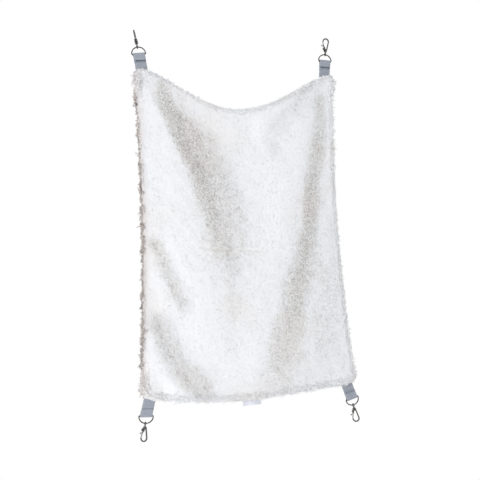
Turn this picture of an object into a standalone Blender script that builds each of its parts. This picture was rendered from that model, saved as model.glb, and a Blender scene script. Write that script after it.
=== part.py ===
"""A small pet hammock: a sewn fleece mat that hangs by a webbing strap, a D-ring and a swivel
trigger hook at each corner. Metres, +Z up. X runs across the mat, -Y is the curly front, and
the origin lies between the two upper hooks, at the height of the rail that they hang on."""

import math

import bmesh
import bpy
from mathutils import Matrix, Vector

for old in list(bpy.data.objects):
    bpy.data.objects.remove(old, do_unlink=True)

# Mat, as it is cut and sewn
mat_width = 0.380
mat_length = 0.540
front_pile = 0.008
back_pile = 0.005
wadding_thickness = 0.0019
seam_thickness = 0.0025
edge_roll = 0.008
corner_radius = 0.010
layer_gap = 0.0003
roll_shares = (0.0, 0.18, 0.5, 1.0)
hold_margin = 0.006
cells_across = 13
cells_down = 16

# Mat, as it hangs
top_draw_in = 0.024
bottom_draw_in = 0.004
top_sag = 0.065
bottom_bulge = 0.014
left_bow = 0.008
right_bow = 0.011
left_ridge = 0.003
hollow_depth = 0.012
right_ridge = 0.005
right_behind = 0.0025
edge_behind = 0.002
belly = 0.003
lower_crease_depth = 0.0047
lower_crease_width = 0.030
side_crease_depth = 0.0017
side_crease_width = 0.018
upper_crease_depth = 0.0034
upper_crease_width = 0.029
taut_reach = 0.018
free_reach = 0.045
left_sag_share = 0.90
right_sag_share = 0.80
bow_share = 0.9
bulge_skew_share = 0.4
belly_share = 1.6
hollow_share = 0.85
right_spread_share = 0.12
lip_shares = (-0.14, 0.26)
rim_share = 0.05

# Where the folds run: how far down, then how far across, and how strong they are on the way
left_fold_shares = (
    (0.05, -0.77),
    (0.11, -0.65),
    (0.18, -0.56),
    (0.25, -0.43),
    (0.32, -0.37),
    (0.47, -0.27),
    (0.61, -0.15),
    (0.75, -0.11),
)
right_fold_shares = (
    (0.02, 0.93),
    (0.13, 0.85),
    (0.24, 0.80),
    (0.36, 0.72),
    (0.47, 0.69),
    (0.57, 0.63),
    (0.66, 0.57),
    (0.75, 0.50),
    (0.84, 0.42),
    (1.0, 0.35),
)
left_spread_shares = ((0.05, 0.12), (0.2, 0.16), (0.4, 0.15), (0.7, 0.12))
right_ahead_shares = ((0.45, 0.12), (0.65, 0.25), (1.0, 0.32))
rise_start_shares = ((0.1, 0.55), (0.4, 0.50), (0.62, 0.08))
left_growth_shares = ((0.0, 0.1), (0.15, 0.4), (0.35, 1.0), (0.5, 0.75), (0.65, 0.3), (0.78, 0.0))
hollow_growth_shares = (
    (0.0, 0.5),
    (0.1, 1.15),
    (0.2, 1.1),
    (0.3, 0.84),
    (0.5, 0.46),
    (0.62, 0.1),
    (0.7, 0.0),
)
right_growth_shares = (
    (0.0, 0.1),
    (0.1, 0.3),
    (0.3, 0.35),
    (0.5, 0.65),
    (0.7, 0.95),
    (0.9, 0.7),
    (1.0, 0.3),
)
behind_growth_shares = ((0.0, 0.5), (0.15, 1.0), (0.5, 1.0), (0.75, 0.3), (0.9, 0.1), (1.0, 0.0))

# Where the creases run: across, then down
lower_crease_shares = (
    (-0.90, 0.715),
    (-0.86, 0.765),
    (-0.81, 0.82),
    (-0.71, 0.88),
    (-0.57, 0.94),
    (-0.42, 0.99),
    (-0.25, 1.04),
)
side_crease_shares = ((-0.93, 0.50), (-0.89, 0.54), (-0.80, 0.60), (-0.71, 0.66), (-0.61, 0.72), (-0.55, 0.75))
upper_crease_shares = ((0.97, -0.01), (0.84, 0.016), (0.64, 0.046), (0.48, 0.068), (0.34, 0.10), (0.20, 0.13))
crease_fade_share = 0.2

# Care label, bare, in the bottom seam
label_width = 0.032
label_hang = 0.010
label_sewn = 0.009
label_thickness = 0.0005
label_place = -0.001
label_notch = 0.001
label_curl = 0.003

# Webbing straps
webbing_width = 0.020
webbing_thickness = 0.0013
strap_inset = 0.014
strap_reach = 0.0265
strap_tail = 0.012
fold_length = 0.0125
fold_spread = 0.005
layer_spacing = 0.0017
hinge_gap = 0.0003
notch_gap = 0.0004
stitch_length = 0.017
stitch_width = 0.0009
stitch_thickness = 0.0004
stitch_margin = 0.0016
stitch_lift = 0.0002

# D-rings
ring_wire = 0.00105
ring_side_gap = 0.0007
ring_depth = 0.0122
ring_corner = 0.0016
bar_fit = 0.00035

# Swivel eyes
eye_wire = 0.00085
eye_bore = 0.0020
eye_slack = 0.0003
eye_sink = 0.0004
shank_radius = 0.00105
rivet_radius = 0.00175
rivet_height = 0.0010
neck_gap = 0.0005
shank_gap = 0.0003

# Hooks
barrel_radius = 0.0031
barrel_height = 0.0052
barrel_floor = 0.0015
barrel_edge = 0.0004
cavity_radius = 0.0022
hook_length = 0.0250
hook_half_width = 0.00625
claw_half_width = 0.00115
claw_half_depth = 0.0015
claw_foot = 0.0023
claw_start = 0.0030
nose_height = 0.0172
claw_flare_shares = ((0.30, 0.32), (0.72, 0.74))
claw_sides = 8
crown_steps = 9
cut_overrun = 0.002

# Triggers, their pins and springs
pivot_side = 0.0029
pivot_height = 0.0072
cheek_half_depth = 0.0026
cheek_out = 0.0017
cheek_rise = 0.0015
cheek_foot = 0.0028
slot_floor = 0.0053
slot_gap = 0.0003
hub_radius = 0.00135
hub_half_depth = 0.0009
stem_half_width = 0.0008
stem_half_depth = 0.00085
gate_gap = 0.0003
lug_height = 0.0100
lug_reach = 0.0037
lug_rise = 0.0012
lug_half_width = 0.0008
lug_half_depth = 0.0007
lug_knob = 0.0011
pin_radius = 0.00055
pin_gap = 0.0001
leaf_thickness = 0.00025
leaf_half_width = 0.0006
leaf_seat_gap = 0.0001
leaf_foot = 0.0008
leaf_bow = 0.0018
leaf_bend = 0.0014
leaf_height = 0.0030
leaf_tip = 0.0006

# How each corner hangs, in degrees: the outward lean of the strap, the ring and the hook, and
# how far the hook has turned on its swivel. The last value is the side of the folded layer.
corners = {
    "top_left": (-1, 1, 8.4, 6.0, 9.7, 74.0, -1),
    "top_right": (1, 1, 5.8, 3.8, 5.9, 0.0, -1),
    "bottom_left": (-1, -1, 15.6, 3.0, 8.1, 166.0, 1),
    "bottom_right": (1, -1, 18.8, 15.6, 9.5, 199.0, -1),
}

colours = {
    "fleece": (0.87, 0.865, 0.86),
    "plush": (0.40, 0.34, 0.31),
    "wadding": (0.90, 0.90, 0.90),
    "label": (0.80, 0.81, 0.85),
    "webbing": (0.31, 0.34, 0.41),
    "thread": (0.10, 0.12, 0.14),
    "nickel": (0.33, 0.32, 0.31),
    "spring_steel": (0.45, 0.45, 0.46),
}

half_length = mat_length / 2
top_half = (mat_width - top_draw_in) / 2
bottom_half = (mat_width - bottom_draw_in) / 2
half_webbing = webbing_width / 2
half_strap = webbing_thickness / 2
core_face = wadding_thickness / 2 + layer_gap


# The hung surface, in shares across (-1 to 1) and down (0 to 1)

def edge_reach(across, down):
    """How far the side edge on this side lies from the mat's middle line."""
    bow = left_bow if across < 0 else right_bow
    straight = top_half + (bottom_half - top_half) * down
    return straight - bow * math.sin(math.pi * down**bow_share)


def corner_drop(across, reach):
    """How far the rounded corner has pulled the end edge in."""
    missing = corner_radius - (1 - abs(across)) * reach
    if missing <= 0:
        return 0.0
    return corner_radius - math.sqrt(max(corner_radius**2 - missing**2, 0.0))


def end_height(across, down_end):
    """Height of the top edge (0) or the bottom edge (1), from the mat's middle."""
    if down_end == 0:
        sag_share = left_sag_share if across < 0 else right_sag_share
        sag = top_sag * math.sin(math.pi / 2 * (1 - abs(across)) ** sag_share) ** 2
        return half_length - sag - corner_drop(across, top_half)
    bulge = bottom_bulge * math.cos(math.pi / 2 * across) * (1 - bulge_skew_share * across)
    return -half_length - bulge + corner_drop(across, bottom_half)


def strap_base(side, end):
    """Where a strap's middle line crosses the mat's edge."""
    half = top_half if end > 0 else bottom_half
    across = side * (1 - strap_inset / half)
    return Vector((across * half, 0, end_height(across, 0 if end > 0 else 1)))


def distance_to_line(across, down, shares):
    """Distance on the flat mat to a line of shares, the share of the line run by then, and 1 on
    the side above the line or -1 below it."""
    point = Vector((across * mat_width / 2, down * mat_length))
    line = [Vector((a * mat_width / 2, d * mat_length)) for a, d in shares]
    found = []
    for n, (start, end) in enumerate(zip(line, line[1:])):
        run = end - start
        along = min(max((point - start).dot(run) / run.length_squared, 0.0), 1.0)
        gap = point - start - run * along
        side = math.copysign(1.0, run.y * gap.x - run.x * gap.y)
        found.append((gap.length, (n + along) / (len(line) - 1), side))
    return min(found)


def read_off(shares, at):
    """The value of a table of (place, value) shares at a place between its rows."""
    if at <= shares[0][0]:
        return shares[0][1]
    for (start, low), (end, high) in zip(shares, shares[1:]):
        if at <= end:
            return low + (high - low) * (at - start) / (end - start)
    return shares[-1][1]


def eased(knots, at):
    """A smooth curve through (place, value) knots, level at each of them."""
    if at <= knots[0][0]:
        return knots[0][1]
    for (start, low), (end, high) in zip(knots, knots[1:]):
        if at <= end:
            share = (at - start) / (end - start)
            return low + (high - low) * (1 - math.cos(math.pi * share)) / 2
    return knots[-1][1]


def soft_share(at, start, end):
    """0 before the start, 1 past the end, with an easy rise between."""
    share = min(max((at - start) / (end - start), 0.0), 1.0)
    return share * share * (3 - 2 * share)


def crease(across, down, depth, width, shares):
    """A crease along a line: the cloth stands proud on one side of it and is sunk on the other."""
    distance, along, side = distance_to_line(across, down, shares)
    reach = distance / width
    faded = soft_share(along, 0, crease_fade_share) * soft_share(1 - along, 0, crease_fade_share)
    return depth * side * reach * math.exp((1 - reach * reach) / 2) * faded


def creased(across, down):
    """The creases by the lower left strap, by the left side and by the upper right strap."""
    lower = crease(across, down, lower_crease_depth, lower_crease_width, lower_crease_shares)
    side = crease(across, down, side_crease_depth, side_crease_width, side_crease_shares)
    upper = crease(across, down, upper_crease_depth, upper_crease_width, upper_crease_shares)
    return lower + side + upper


def slack(place):
    """0 where the straps hold the cloth flat, 1 where it is free to fold."""
    return soft_share(min((place - base).length for base in strap_bases), taut_reach, free_reach)


def relief(across, down, place):
    """How far the hung cloth lies behind the plane of its corners. A low ridge runs down from each
    upper strap, the slack cloth right of each falls back, and the lower part bellies out."""
    left, right = read_off(left_fold_shares, down), read_off(right_fold_shares, down)
    first, last = left - read_off(left_spread_shares, down), right - read_off(right_ahead_shares, down)
    rising = first + read_off(rise_start_shares, down)
    crest = -left_ridge * read_off(left_growth_shares, down)
    floor = hollow_depth * read_off(hollow_growth_shares, down)
    behind = eased([(-1, 0), (max(first, rim_share - 1), crest)], across)
    fallen = min(max((across - first) / hollow_share, 0.0), 1.0)
    lip_start, lip_end = lip_shares
    behind += (floor - crest) * (1 - (1 - fallen) ** 3) * soft_share(across - first, lip_start, lip_end)
    crest = -right_ridge * read_off(right_growth_shares, down)
    behind += (crest - floor) * soft_share(across, rising, last)
    foot = right_behind * read_off(behind_growth_shares, down) - crest
    edge = edge_behind * math.sin(math.pi * down) - crest
    behind += eased([(last, 0), (min(right + right_spread_share, 1 - rim_share), foot), (1, edge)], across)
    behind -= belly * math.cos(math.pi / 2 * across) * math.sin(math.pi * down**belly_share)
    return (behind + creased(across, down)) * slack(place)


def hung(across, down):
    """The place of a point of the mat's middle surface."""
    top, bottom = end_height(across, 0), end_height(across, 1)
    place = Vector((across * edge_reach(across, down), 0, top + (bottom - top) * down))
    place.y = relief(across, down, place)
    return place


strap_bases = [strap_base(side, end) for side in (-1, 1) for end in (-1, 1)]


# Frames of the hanging corners

def leaning(side, end, lean):
    """The outward direction of a piece that leans this far from the vertical."""
    angle = math.radians(lean)
    return Vector((side * math.sin(angle), 0, end * math.cos(angle)))


def frame_at(place, direction):
    """A frame with Z along the direction and Y kept as the mat's."""
    side = Vector((0, 1, 0)).cross(direction)
    rows = (side, Vector((0, 1, 0)), direction)
    turn = Matrix(rows).transposed()
    return Matrix.Translation(place) @ turn.to_4x4()


def bow_point(lean):
    """Where the ring's bow is square to a pull that leans this far, in the ring's frame."""
    tangent = ring_half * math.tan(lean) / ring_rise
    angle = math.pi / 2 - math.atan(tangent)
    return Vector((ring_half * math.cos(angle), 0, ring_corner + ring_rise * math.sin(angle)))


def corner_frames(name):
    """World matrices of a corner's strap end, ring, eye and hook, before the turn on the swivel."""
    side, end, strap_lean, ring_lean, hook_lean, turn, _ = corners[name]
    base = strap_base(side, end)
    ring = frame_at(base + leaning(side, end, strap_lean) * strap_reach, leaning(side, end, ring_lean))
    pull = ring.inverted().to_3x3() @ leaning(side, end, hook_lean)
    eye = frame_at(ring @ bow_point(math.atan2(pull.x, pull.z)), leaning(side, end, hook_lean))
    hook = eye @ Matrix.Translation((0, 0, hook_offset)) @ Matrix.Rotation(math.radians(turn), 4, "Z")
    return ring, eye, hook


ring_half = half_webbing + ring_side_gap + ring_wire
ring_rise = ring_depth - ring_corner
eye_offset = eye_bore - ring_wire - eye_slack
eye_outer = eye_bore + 2 * eye_wire
hook_offset = eye_offset + eye_outer + neck_gap
claw_half = hook_half_width - claw_half_width
crown_centre = hook_length - claw_half_width - claw_half
crown_chord = claw_half * math.cos(math.pi / 2 / crown_steps)
bearing_height = crown_centre + crown_chord - claw_half_width * math.cos(math.pi / claw_sides)


def rail_height():
    """Height over the mat's middle of the bar that the two upper hooks hang on."""
    heights = []
    for name in ("top_left", "top_right"):
        hook = corner_frames(name)[2]
        heights.append((hook @ Vector((0, 0, bearing_height))).z)
    return sum(heights) / len(heights)


to_origin = Matrix.Translation((0, 0, -rail_height()))


# Mesh helpers

def mesh_from(name, points, faces):
    mesh = bpy.data.meshes.new(name)
    mesh.from_pydata([tuple(p) for p in points], [], faces)
    edit = bmesh.new()
    edit.from_mesh(mesh)
    bmesh.ops.recalc_face_normals(edit, faces=edit.faces)
    edit.to_mesh(mesh)
    edit.free()
    return mesh


def sweep(name, path, half_in, half_across, sides, closed=False):
    """A bar along a path in the XZ plane. half_in lies in that plane, half_across along Y."""
    points, faces = [], []
    count = len(path)
    for n, place in enumerate(path):
        before = path[n - 1] if n or closed else place
        after = path[(n + 1) % count] if n + 1 < count or closed else place
        run = (after - before).normalized()
        across = Vector((run.z, 0, -run.x))
        mitre = 1.0
        if (n or closed) and (n + 1 < count or closed):
            mitre = 1 / max(math.cos((after - place).angle(place - before) / 2), 0.7)
        for k in range(sides):
            angle = (k + 0.5) * 2 * math.pi / sides
            inward = across * (half_in * mitre * math.cos(angle))
            points.append(place + inward + Vector((0, half_across * math.sin(angle), 0)))
    for n in range(count if closed else count - 1):
        here, there = n * sides, (n + 1) % count * sides
        for k in range(sides):
            next_k = (k + 1) % sides
            faces.append((here + k, here + next_k, there + next_k, there + k))
    if not closed:
        faces.append(tuple(range(sides)))
        faces.append(tuple(range((count - 1) * sides, count * sides)))
    return mesh_from(name, points, faces)


def turned(name, profile, sides):
    """A solid of revolution about Z from (radius, height) points, with flat ends."""
    points, faces = [], []
    for radius, height in profile:
        for k in range(sides):
            angle = (k + 0.5) * 2 * math.pi / sides
            points.append((radius * math.cos(angle), radius * math.sin(angle), height))
    for n in range(len(profile) - 1):
        for k in range(sides):
            next_k = (k + 1) % sides
            here, there = n * sides, (n + 1) * sides
            faces.append((here + k, here + next_k, there + next_k, there + k))
    faces.append(tuple(range(sides)))
    faces.append(tuple(range((len(profile) - 1) * sides, len(profile) * sides)))
    return mesh_from(name, points, faces)


def extruded(name, outline, half_depth):
    """A plate from an outline in the XZ plane, as deep to each side of it along Y."""
    count = len(outline)
    points = [(x, y, z) for y in (-half_depth, half_depth) for x, z in outline]
    faces = [tuple(range(count)), tuple(range(count, 2 * count))]
    for k in range(count):
        next_k = (k + 1) % count
        faces.append((k, next_k, count + next_k, count + k))
    return mesh_from(name, points, faces)


def disc(x, z, radius, sides):
    angles = [(k + 0.5) * 2 * math.pi / sides for k in range(sides)]
    return [(x + radius * math.cos(a), z + radius * math.sin(a)) for a in angles]


def ribbon(centre, half, round_start=False, steps=4):
    """The outline of a strip of even thickness along a centre line of (u, v) points."""
    left, right = [], []
    line = [Vector(p) for p in centre]
    for n, place in enumerate(line):
        run_in = (place - line[n - 1]).normalized() if n else (line[1] - place).normalized()
        run_out = (line[n + 1] - place).normalized() if n + 1 < len(line) else run_in
        run = (run_in + run_out).normalized()
        wide = half / max(run.dot(run_in), 0.5)
        side = Vector((-run.y, run.x)) * wide
        left.append(place + side)
        right.append(place - side)
    outline = left + right[::-1]
    if round_start:
        run = (line[1] - line[0]).normalized()
        side = Vector((-run.y, run.x)) * half
        angles = [math.pi * k / steps for k in range(1, steps)]
        outline += [line[0] - side * math.cos(a) - run * (half * math.sin(a)) for a in angles]
    return [(p.x, p.y) for p in outline]


def scratch(mesh):
    """A helper object that takes part in a Boolean and is removed after it."""
    helper = bpy.data.objects.new(mesh.name, mesh)
    helper.hide_render = True
    helper.display_type = "WIRE"
    bpy.context.scene.collection.objects.link(helper)
    return helper


def combined(name, body, added=(), removed=()):
    """The mesh of a body with others joined to it and cutters taken from it."""
    base = scratch(body)
    helpers = [base]
    for operation, meshes in (("UNION", added), ("DIFFERENCE", removed)):
        for mesh in meshes:
            helper = scratch(mesh)
            helpers.append(helper)
            step = base.modifiers.new(mesh.name, "BOOLEAN")
            step.operation = operation
            step.solver = "EXACT"
            step.object = helper
    graph = bpy.context.evaluated_depsgraph_get()
    result = bpy.data.meshes.new_from_object(base.evaluated_get(graph))
    result.name = name
    for helper in helpers:
        bpy.data.objects.remove(helper, do_unlink=True)
    return result


def moved(mesh, matrix):
    mesh.transform(matrix)
    return mesh


def material(name, roughness, metallic=0.0):
    finish = bpy.data.materials.new(name)
    finish.use_nodes = True
    shader = finish.node_tree.nodes["Principled BSDF"]
    shader.inputs["Base Color"].default_value = (*colours[name], 1)
    shader.inputs["Roughness"].default_value = roughness
    shader.inputs["Metallic"].default_value = metallic
    return finish


finishes = {
    "fleece": material("fleece", 0.95),
    "plush": material("plush", 0.9),
    "wadding": material("wadding", 0.95),
    "label": material("label", 0.6),
    "webbing": material("webbing", 0.75),
    "thread": material("thread", 0.6),
    "nickel": material("nickel", 0.28, 1.0),
    "spring_steel": material("spring_steel", 0.35, 1.0),
}
places = {}


def piece(name, mesh, finish, place=None, carrier=None, smooth_angle=40.0):
    """A named piece at its place in the world, parented to the piece that carries it."""
    if not mesh.materials:
        mesh.materials.append(finishes[finish])
    mesh.shade_smooth()
    mesh.set_sharp_from_angle(angle=math.radians(smooth_angle))
    thing = bpy.data.objects.new(name, mesh)
    bpy.context.scene.collection.objects.link(thing)
    world = to_origin @ (place or Matrix.Identity(4))
    places[name] = world
    if carrier:
        thing.parent = bpy.data.objects[carrier]
        thing.matrix_parent_inverse = Matrix.Identity(4)
        world = places[carrier].inverted() @ world
    thing.matrix_basis = world
    return thing


# Mat

def grid_shares():
    """Lines of the mat's grid: close at the rolled edges, past the strap ends, then even."""
    side_lines = [share * edge_roll / top_half for share in roll_shares]
    side_lines.append((strap_inset + half_webbing + hold_margin) / top_half)
    end_lines = [share * edge_roll / mat_length for share in roll_shares]
    end_lines.append((strap_tail + hold_margin) / mat_length)
    span = 1 - side_lines[-1]
    middle = [-span + 2 * span * n / cells_across for n in range(1, cells_across)]
    columns = [s - 1 for s in side_lines] + middle + [1 - s for s in side_lines[::-1]]
    reach = 1 - 2 * end_lines[-1]
    inner = [end_lines[-1] + reach * n / cells_down for n in range(1, cells_down)]
    rows = end_lines + inner + [1 - s for s in end_lines[::-1]]
    return columns, rows


def rolled(across, down):
    """0 at the sewn edge and 1 where a panel has its full pile."""
    inset = min((1 - abs(across)) * top_half, min(down, 1 - down) * mat_length)
    share = min(inset / edge_roll, 1.0)
    return math.sqrt(max(1 - (1 - share) ** 2, 0.0))


def layer(name, columns, rows, front, back):
    """A closed sheet between two depths from the hung surface."""
    points, faces = [], []
    for depth in (front, back):
        for down in rows:
            for across in columns:
                points.append(hung(across, down) + Vector((0, depth(across, down), 0)))
    wide, high = len(columns), len(rows)
    far = wide * high
    for j in range(high - 1):
        for i in range(wide - 1):
            a = j * wide + i
            b, c, d = a + 1, a + wide + 1, a + wide
            faces += [(a, d, c), (a, c, b), (a + far, c + far, d + far), (a + far, b + far, c + far)]
    rim = list(range(wide)) + [j * wide + wide - 1 for j in range(1, high)]
    rim += [far - 1 - i for i in range(1, wide)] + [(high - 1 - j) * wide for j in range(1, high - 1)]
    for a, b in zip(rim, rim[1:] + rim[:1]):
        faces.append((a, b, b + far, a + far))
    return mesh_from(name, points, faces)


def tail_box(name, half_width, half_depth, extra):
    """The sewn-in end of a strap, in its ring's frame, grown by a gap where asked."""
    top, bottom, skew = strap_levels(name)
    outline = []
    for across, height in ((-1, top), (1, top), (1, bottom - extra), (-1, bottom - extra)):
        outline.append((skew * height + across * half_width, height))
    return extruded("tail", outline, half_depth)


def strap_levels(name):
    """Tail top, tail bottom and skew of a strap, in its ring's frame."""
    pivot, base, skew = strap_pivot(name)
    return pivot - half_strap - hinge_gap, base - strap_tail, skew


def strap_pivot(name):
    """Height of the bend at the seam and of the seam itself, and the strap's skew, in the ring's
    frame. The bend lies just clear of the mat's edge over the strap's whole width."""
    side, end = corners[name][:2]
    to_ring = corner_frames(name)[0].inverted()
    base = to_ring @ strap_base(side, end)
    skew = base.x / base.z
    half = top_half if end > 0 else bottom_half
    edge = base.z
    for n in range(outline_samples + 1):
        across = side * (1 - 2 * strap_inset / half * n / outline_samples)
        place = to_ring @ Vector((across * half, 0, end_height(across, 0 if end > 0 else 1)))
        if abs(place.x - skew * place.z) <= half_webbing + notch_gap:
            edge = max(edge, place.z)
    return edge + hinge_gap + half_strap, base.z, skew


outline_samples = 60


def make_mat():
    columns, rows = grid_shares()
    front = layer(
        "front_panel",
        columns,
        rows,
        lambda a, d: -core_face - seam_thickness - (front_pile - seam_thickness) * rolled(a, d),
        lambda a, d: -core_face,
    )
    back = layer(
        "back_panel",
        columns,
        rows,
        lambda a, d: core_face,
        lambda a, d: core_face + seam_thickness + (back_pile - seam_thickness) * rolled(a, d),
    )
    half_core = wadding_thickness / 2
    wadding = layer(
        "wadding", columns[1:-1], rows[1:-1], lambda a, d: -half_core, lambda a, d: half_core
    )
    cutters = []
    for name in corners:
        notch = tail_box(name, half_webbing + notch_gap, wadding_thickness, notch_gap)
        cutters.append(moved(notch, corner_frames(name)[0]))
    cutters.append(label_sheet("label_notch", label_notch, wadding_thickness))
    piece("fleece_front_panel", front, "fleece", smooth_angle=60.0)
    piece("plush_back_panel", back, "plush", smooth_angle=60.0)
    piece("wadding_layer", combined("wadding_layer", wadding, removed=cutters), "wadding")


def label_sheet(name, extra, half_depth):
    """The label's outline, sewn in the bottom seam and hanging out of it, grown by a gap."""
    points, faces = [], []
    steps = 4
    for depth in (-half_depth, half_depth):
        for i in range(steps + 1):
            x = label_place + (label_width + 2 * extra) * (i / steps - 1 / 2)
            across = x / bottom_half
            edge = hung(across, 1)
            inside = label_sewn + extra
            above = hung(across, 1 - inside / mat_length)
            tip = edge + Vector((0, -label_curl, -label_hang))
            for place in (above, edge, tip):
                points.append(place + Vector((0, depth, 0)))
    per = 3
    far = per * (steps + 1)
    for i in range(steps):
        for k in range(per - 1):
            a = i * per + k
            quad = (a, a + 1, a + per + 1, a + per)
            faces += [quad, tuple(v + far for v in quad[::-1])]
        a, b = i * per, (i + 1) * per
        faces += [(a, b, b + far, a + far), (a + per - 1, a + per - 1 + far, b + per - 1 + far, b + per - 1)]
    for i in (0, steps):
        for k in range(per - 1):
            a = i * per + k
            faces.append((a, a + far, a + 1 + far, a + 1))
    return mesh_from(name, points, faces)


# Straps

def make_strap(name):
    """The strap outside the seam: up the back, round the ring's bar and down to the stitches."""
    ring, _, _ = corner_frames(name)
    fold_side = corners[name][6]
    pivot, _, skew = strap_pivot(name)
    bend = ring_wire + bar_fit + half_strap
    lay = layer_spacing / 2
    centre = [(0, pivot), (0, -fold_length - fold_spread / 2), (lay, -fold_length + fold_spread / 4)]
    centre += [(lay, -fold_spread)]
    turn_steps = 8
    for k in range(turn_steps + 1):
        angle = math.pi * k / turn_steps
        centre.append((bend * math.cos(angle), bend * math.sin(angle)))
    centre += [(-lay, -fold_spread), (-lay, -fold_length)]
    outline = ribbon(centre, half_strap, round_start=True)
    points, faces = [], []
    count = len(outline)
    for across in (-half_webbing, half_webbing):
        for y, z in outline:
            points.append((across + skew * (min(z, 0) - pivot), -fold_side * y, z - pivot))
    faces += [tuple(range(count)), tuple(range(count, 2 * count))]
    for k in range(count):
        next_k = (k + 1) % count
        faces.append((k, next_k, count + next_k, count + k))
    strap = mesh_from("webbing_strap_" + name, points, faces)
    base = ring @ Matrix.Translation((skew * pivot, 0, pivot))
    piece("webbing_strap_" + name, strap, "webbing", base, smooth_angle=30.0)
    tail = tail_box(name, half_webbing, half_strap, 0)
    piece("strap_tail_" + name, tail, "webbing", ring, smooth_angle=30.0)
    height = stitch_margin - fold_length
    face = lay + half_strap + stitch_lift + stitch_thickness / 2
    ends = [Vector((side * stitch_length / 2, 0, 0)) for side in (-1, 1)]
    row = sweep("cross_stitch_" + name, ends, stitch_width / 2, stitch_thickness / 2, 8)
    place = ring @ Matrix.Translation((skew * height, fold_side * face, height))
    piece("cross_stitch_" + name, row, "thread", place, "webbing_strap_" + name)


# Hardware

def arc(centre_x, centre_z, half_x, half_z, start, end, steps):
    """Points of an elliptical arc in the XZ plane, angles in degrees."""
    angles = [math.radians(start + (end - start) * k / steps) for k in range(steps + 1)]
    return [Vector((centre_x + half_x * math.cos(a), 0, centre_z + half_z * math.sin(a))) for a in angles]


def ring_mesh():
    """A D-ring: the straight bar on the X axis, small corners and a round bow."""
    path = arc(0, ring_corner, ring_half, ring_rise, 0, 180, 18)
    path += arc(ring_corner - ring_half, ring_corner, ring_corner, ring_corner, 180, 270, 4)[1:]
    path += arc(ring_half - ring_corner, ring_corner, ring_corner, ring_corner, 270, 360, 4)[:-1]
    return sweep("d_ring", path, ring_wire, ring_wire, 10, closed=True)


def eye_mesh():
    """A round eye square to the ring's bow, with its shank and the riveted head in the barrel."""
    middle = eye_bore + eye_wire
    loop = sweep("eye", arc(0, 0, middle, middle, 0, 360, 18)[:-1], eye_wire, eye_wire, 8, closed=True)
    loop = moved(loop, Matrix.Translation((0, 0, eye_offset)) @ Matrix.Rotation(math.pi / 2, 4, "Z"))
    foot = eye_offset + eye_outer - eye_wire - eye_sink
    seat = hook_offset + barrel_floor + shank_gap
    head = seat + rivet_height
    profile = [(shank_radius, foot), (shank_radius, seat), (rivet_radius, seat)]
    profile += [(rivet_radius, head - rivet_height / 2), (rivet_radius - rivet_height / 2, head)]
    return combined("swivel_eye", loop, added=[turned("shank", profile, 12)])


def claw_path():
    """The fixed claw: out of the barrel, up one side, over the crown and down to the nose."""
    path = [Vector((claw_foot, 0, claw_start))]
    for height_share, out_share in claw_flare_shares:
        height = claw_start + (crown_centre - claw_start) * height_share
        path.append(Vector((claw_foot + (claw_half - claw_foot) * out_share, 0, height)))
    path += arc(0, crown_centre, claw_half, claw_half, 0, 180, crown_steps)
    path.append(Vector((-claw_half, 0, nose_height)))
    return path


def hook_mesh():
    """The cast body: barrel, cheeks for the trigger, and the claw that goes over the rail."""
    edge, sides = barrel_edge, 16
    barrel = [(barrel_radius - edge, 0), (barrel_radius, edge), (barrel_radius, barrel_height - edge)]
    barrel += [(barrel_radius - edge, barrel_height)]
    claw = sweep("claw", claw_path(), claw_half_width, claw_half_depth, claw_sides)
    outer, inner = -pivot_side - cheek_out, -pivot_side + cheek_out
    top = pivot_height + cheek_rise
    corner = cheek_out / 2
    cheeks = [(inner, cheek_foot), (inner, top - corner), (inner - corner, top)]
    cheeks += [(outer + corner, top), (outer, top - corner), (outer, cheek_foot + cheek_out)]
    cheeks += [(outer + cheek_out, cheek_foot)]
    over = cut_overrun
    bore_radius = shank_radius + shank_gap
    bore = turned("bore", [(bore_radius, -over), (bore_radius, barrel_floor + over)], sides)
    cavity = turned("cavity", [(cavity_radius, barrel_floor), (cavity_radius, slot_floor + slot_gap)], sides)
    slot_outline = [(outer - over, slot_floor), (inner + over, slot_floor)]
    slot_outline += [(inner + over, top + over), (outer - over, top + over)]
    slot = extruded("slot", slot_outline, hub_half_depth + slot_gap)
    hole = extruded(
        "pin_hole", disc(-pivot_side, pivot_height, pin_radius + pin_gap, 12), cheek_half_depth + over
    )
    return combined(
        "hook_body",
        turned("barrel", barrel, sides),
        added=[extruded("cheeks", cheeks, cheek_half_depth), claw],
        removed=[bore, cavity, slot, hole],
    )


def trigger_mesh():
    """The sprung gate, about its pin: a hub, a stem whose tip turns clear of the claw's nose,
    and a thumb lug."""
    tip = Vector((pivot_side - claw_half, nose_height - gate_gap - pivot_height))
    wide = stem_half_width
    reach = math.hypot(tip.x + wide, tip.y)
    stem = [(-wide, 0), (wide, 0)]
    stem += [(x, math.sqrt(reach**2 - x**2)) for x in (tip.x + wide, tip.x, tip.x - wide)]
    rise = lug_height - pivot_height
    start = tip.x * rise / tip.y
    end_x, end_z = start - lug_reach, rise + lug_rise
    half = lug_half_width
    lug = [(start, rise - half), (start, rise + half), (end_x, end_z + half), (end_x, end_z - half)]
    knob = extruded("knob", disc(end_x, end_z, lug_knob, 10), lug_half_depth + eye_sink)
    pieces = [extruded("stem", stem, stem_half_depth), extruded("lug", lug, lug_half_depth), knob]
    hole = extruded("hole", disc(0, 0, pin_radius + pin_gap, 12), hub_half_depth + cut_overrun)
    hub = extruded("hub", disc(0, 0, hub_radius, 14), hub_half_depth)
    return combined("trigger", hub, added=pieces, removed=[hole])


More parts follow.
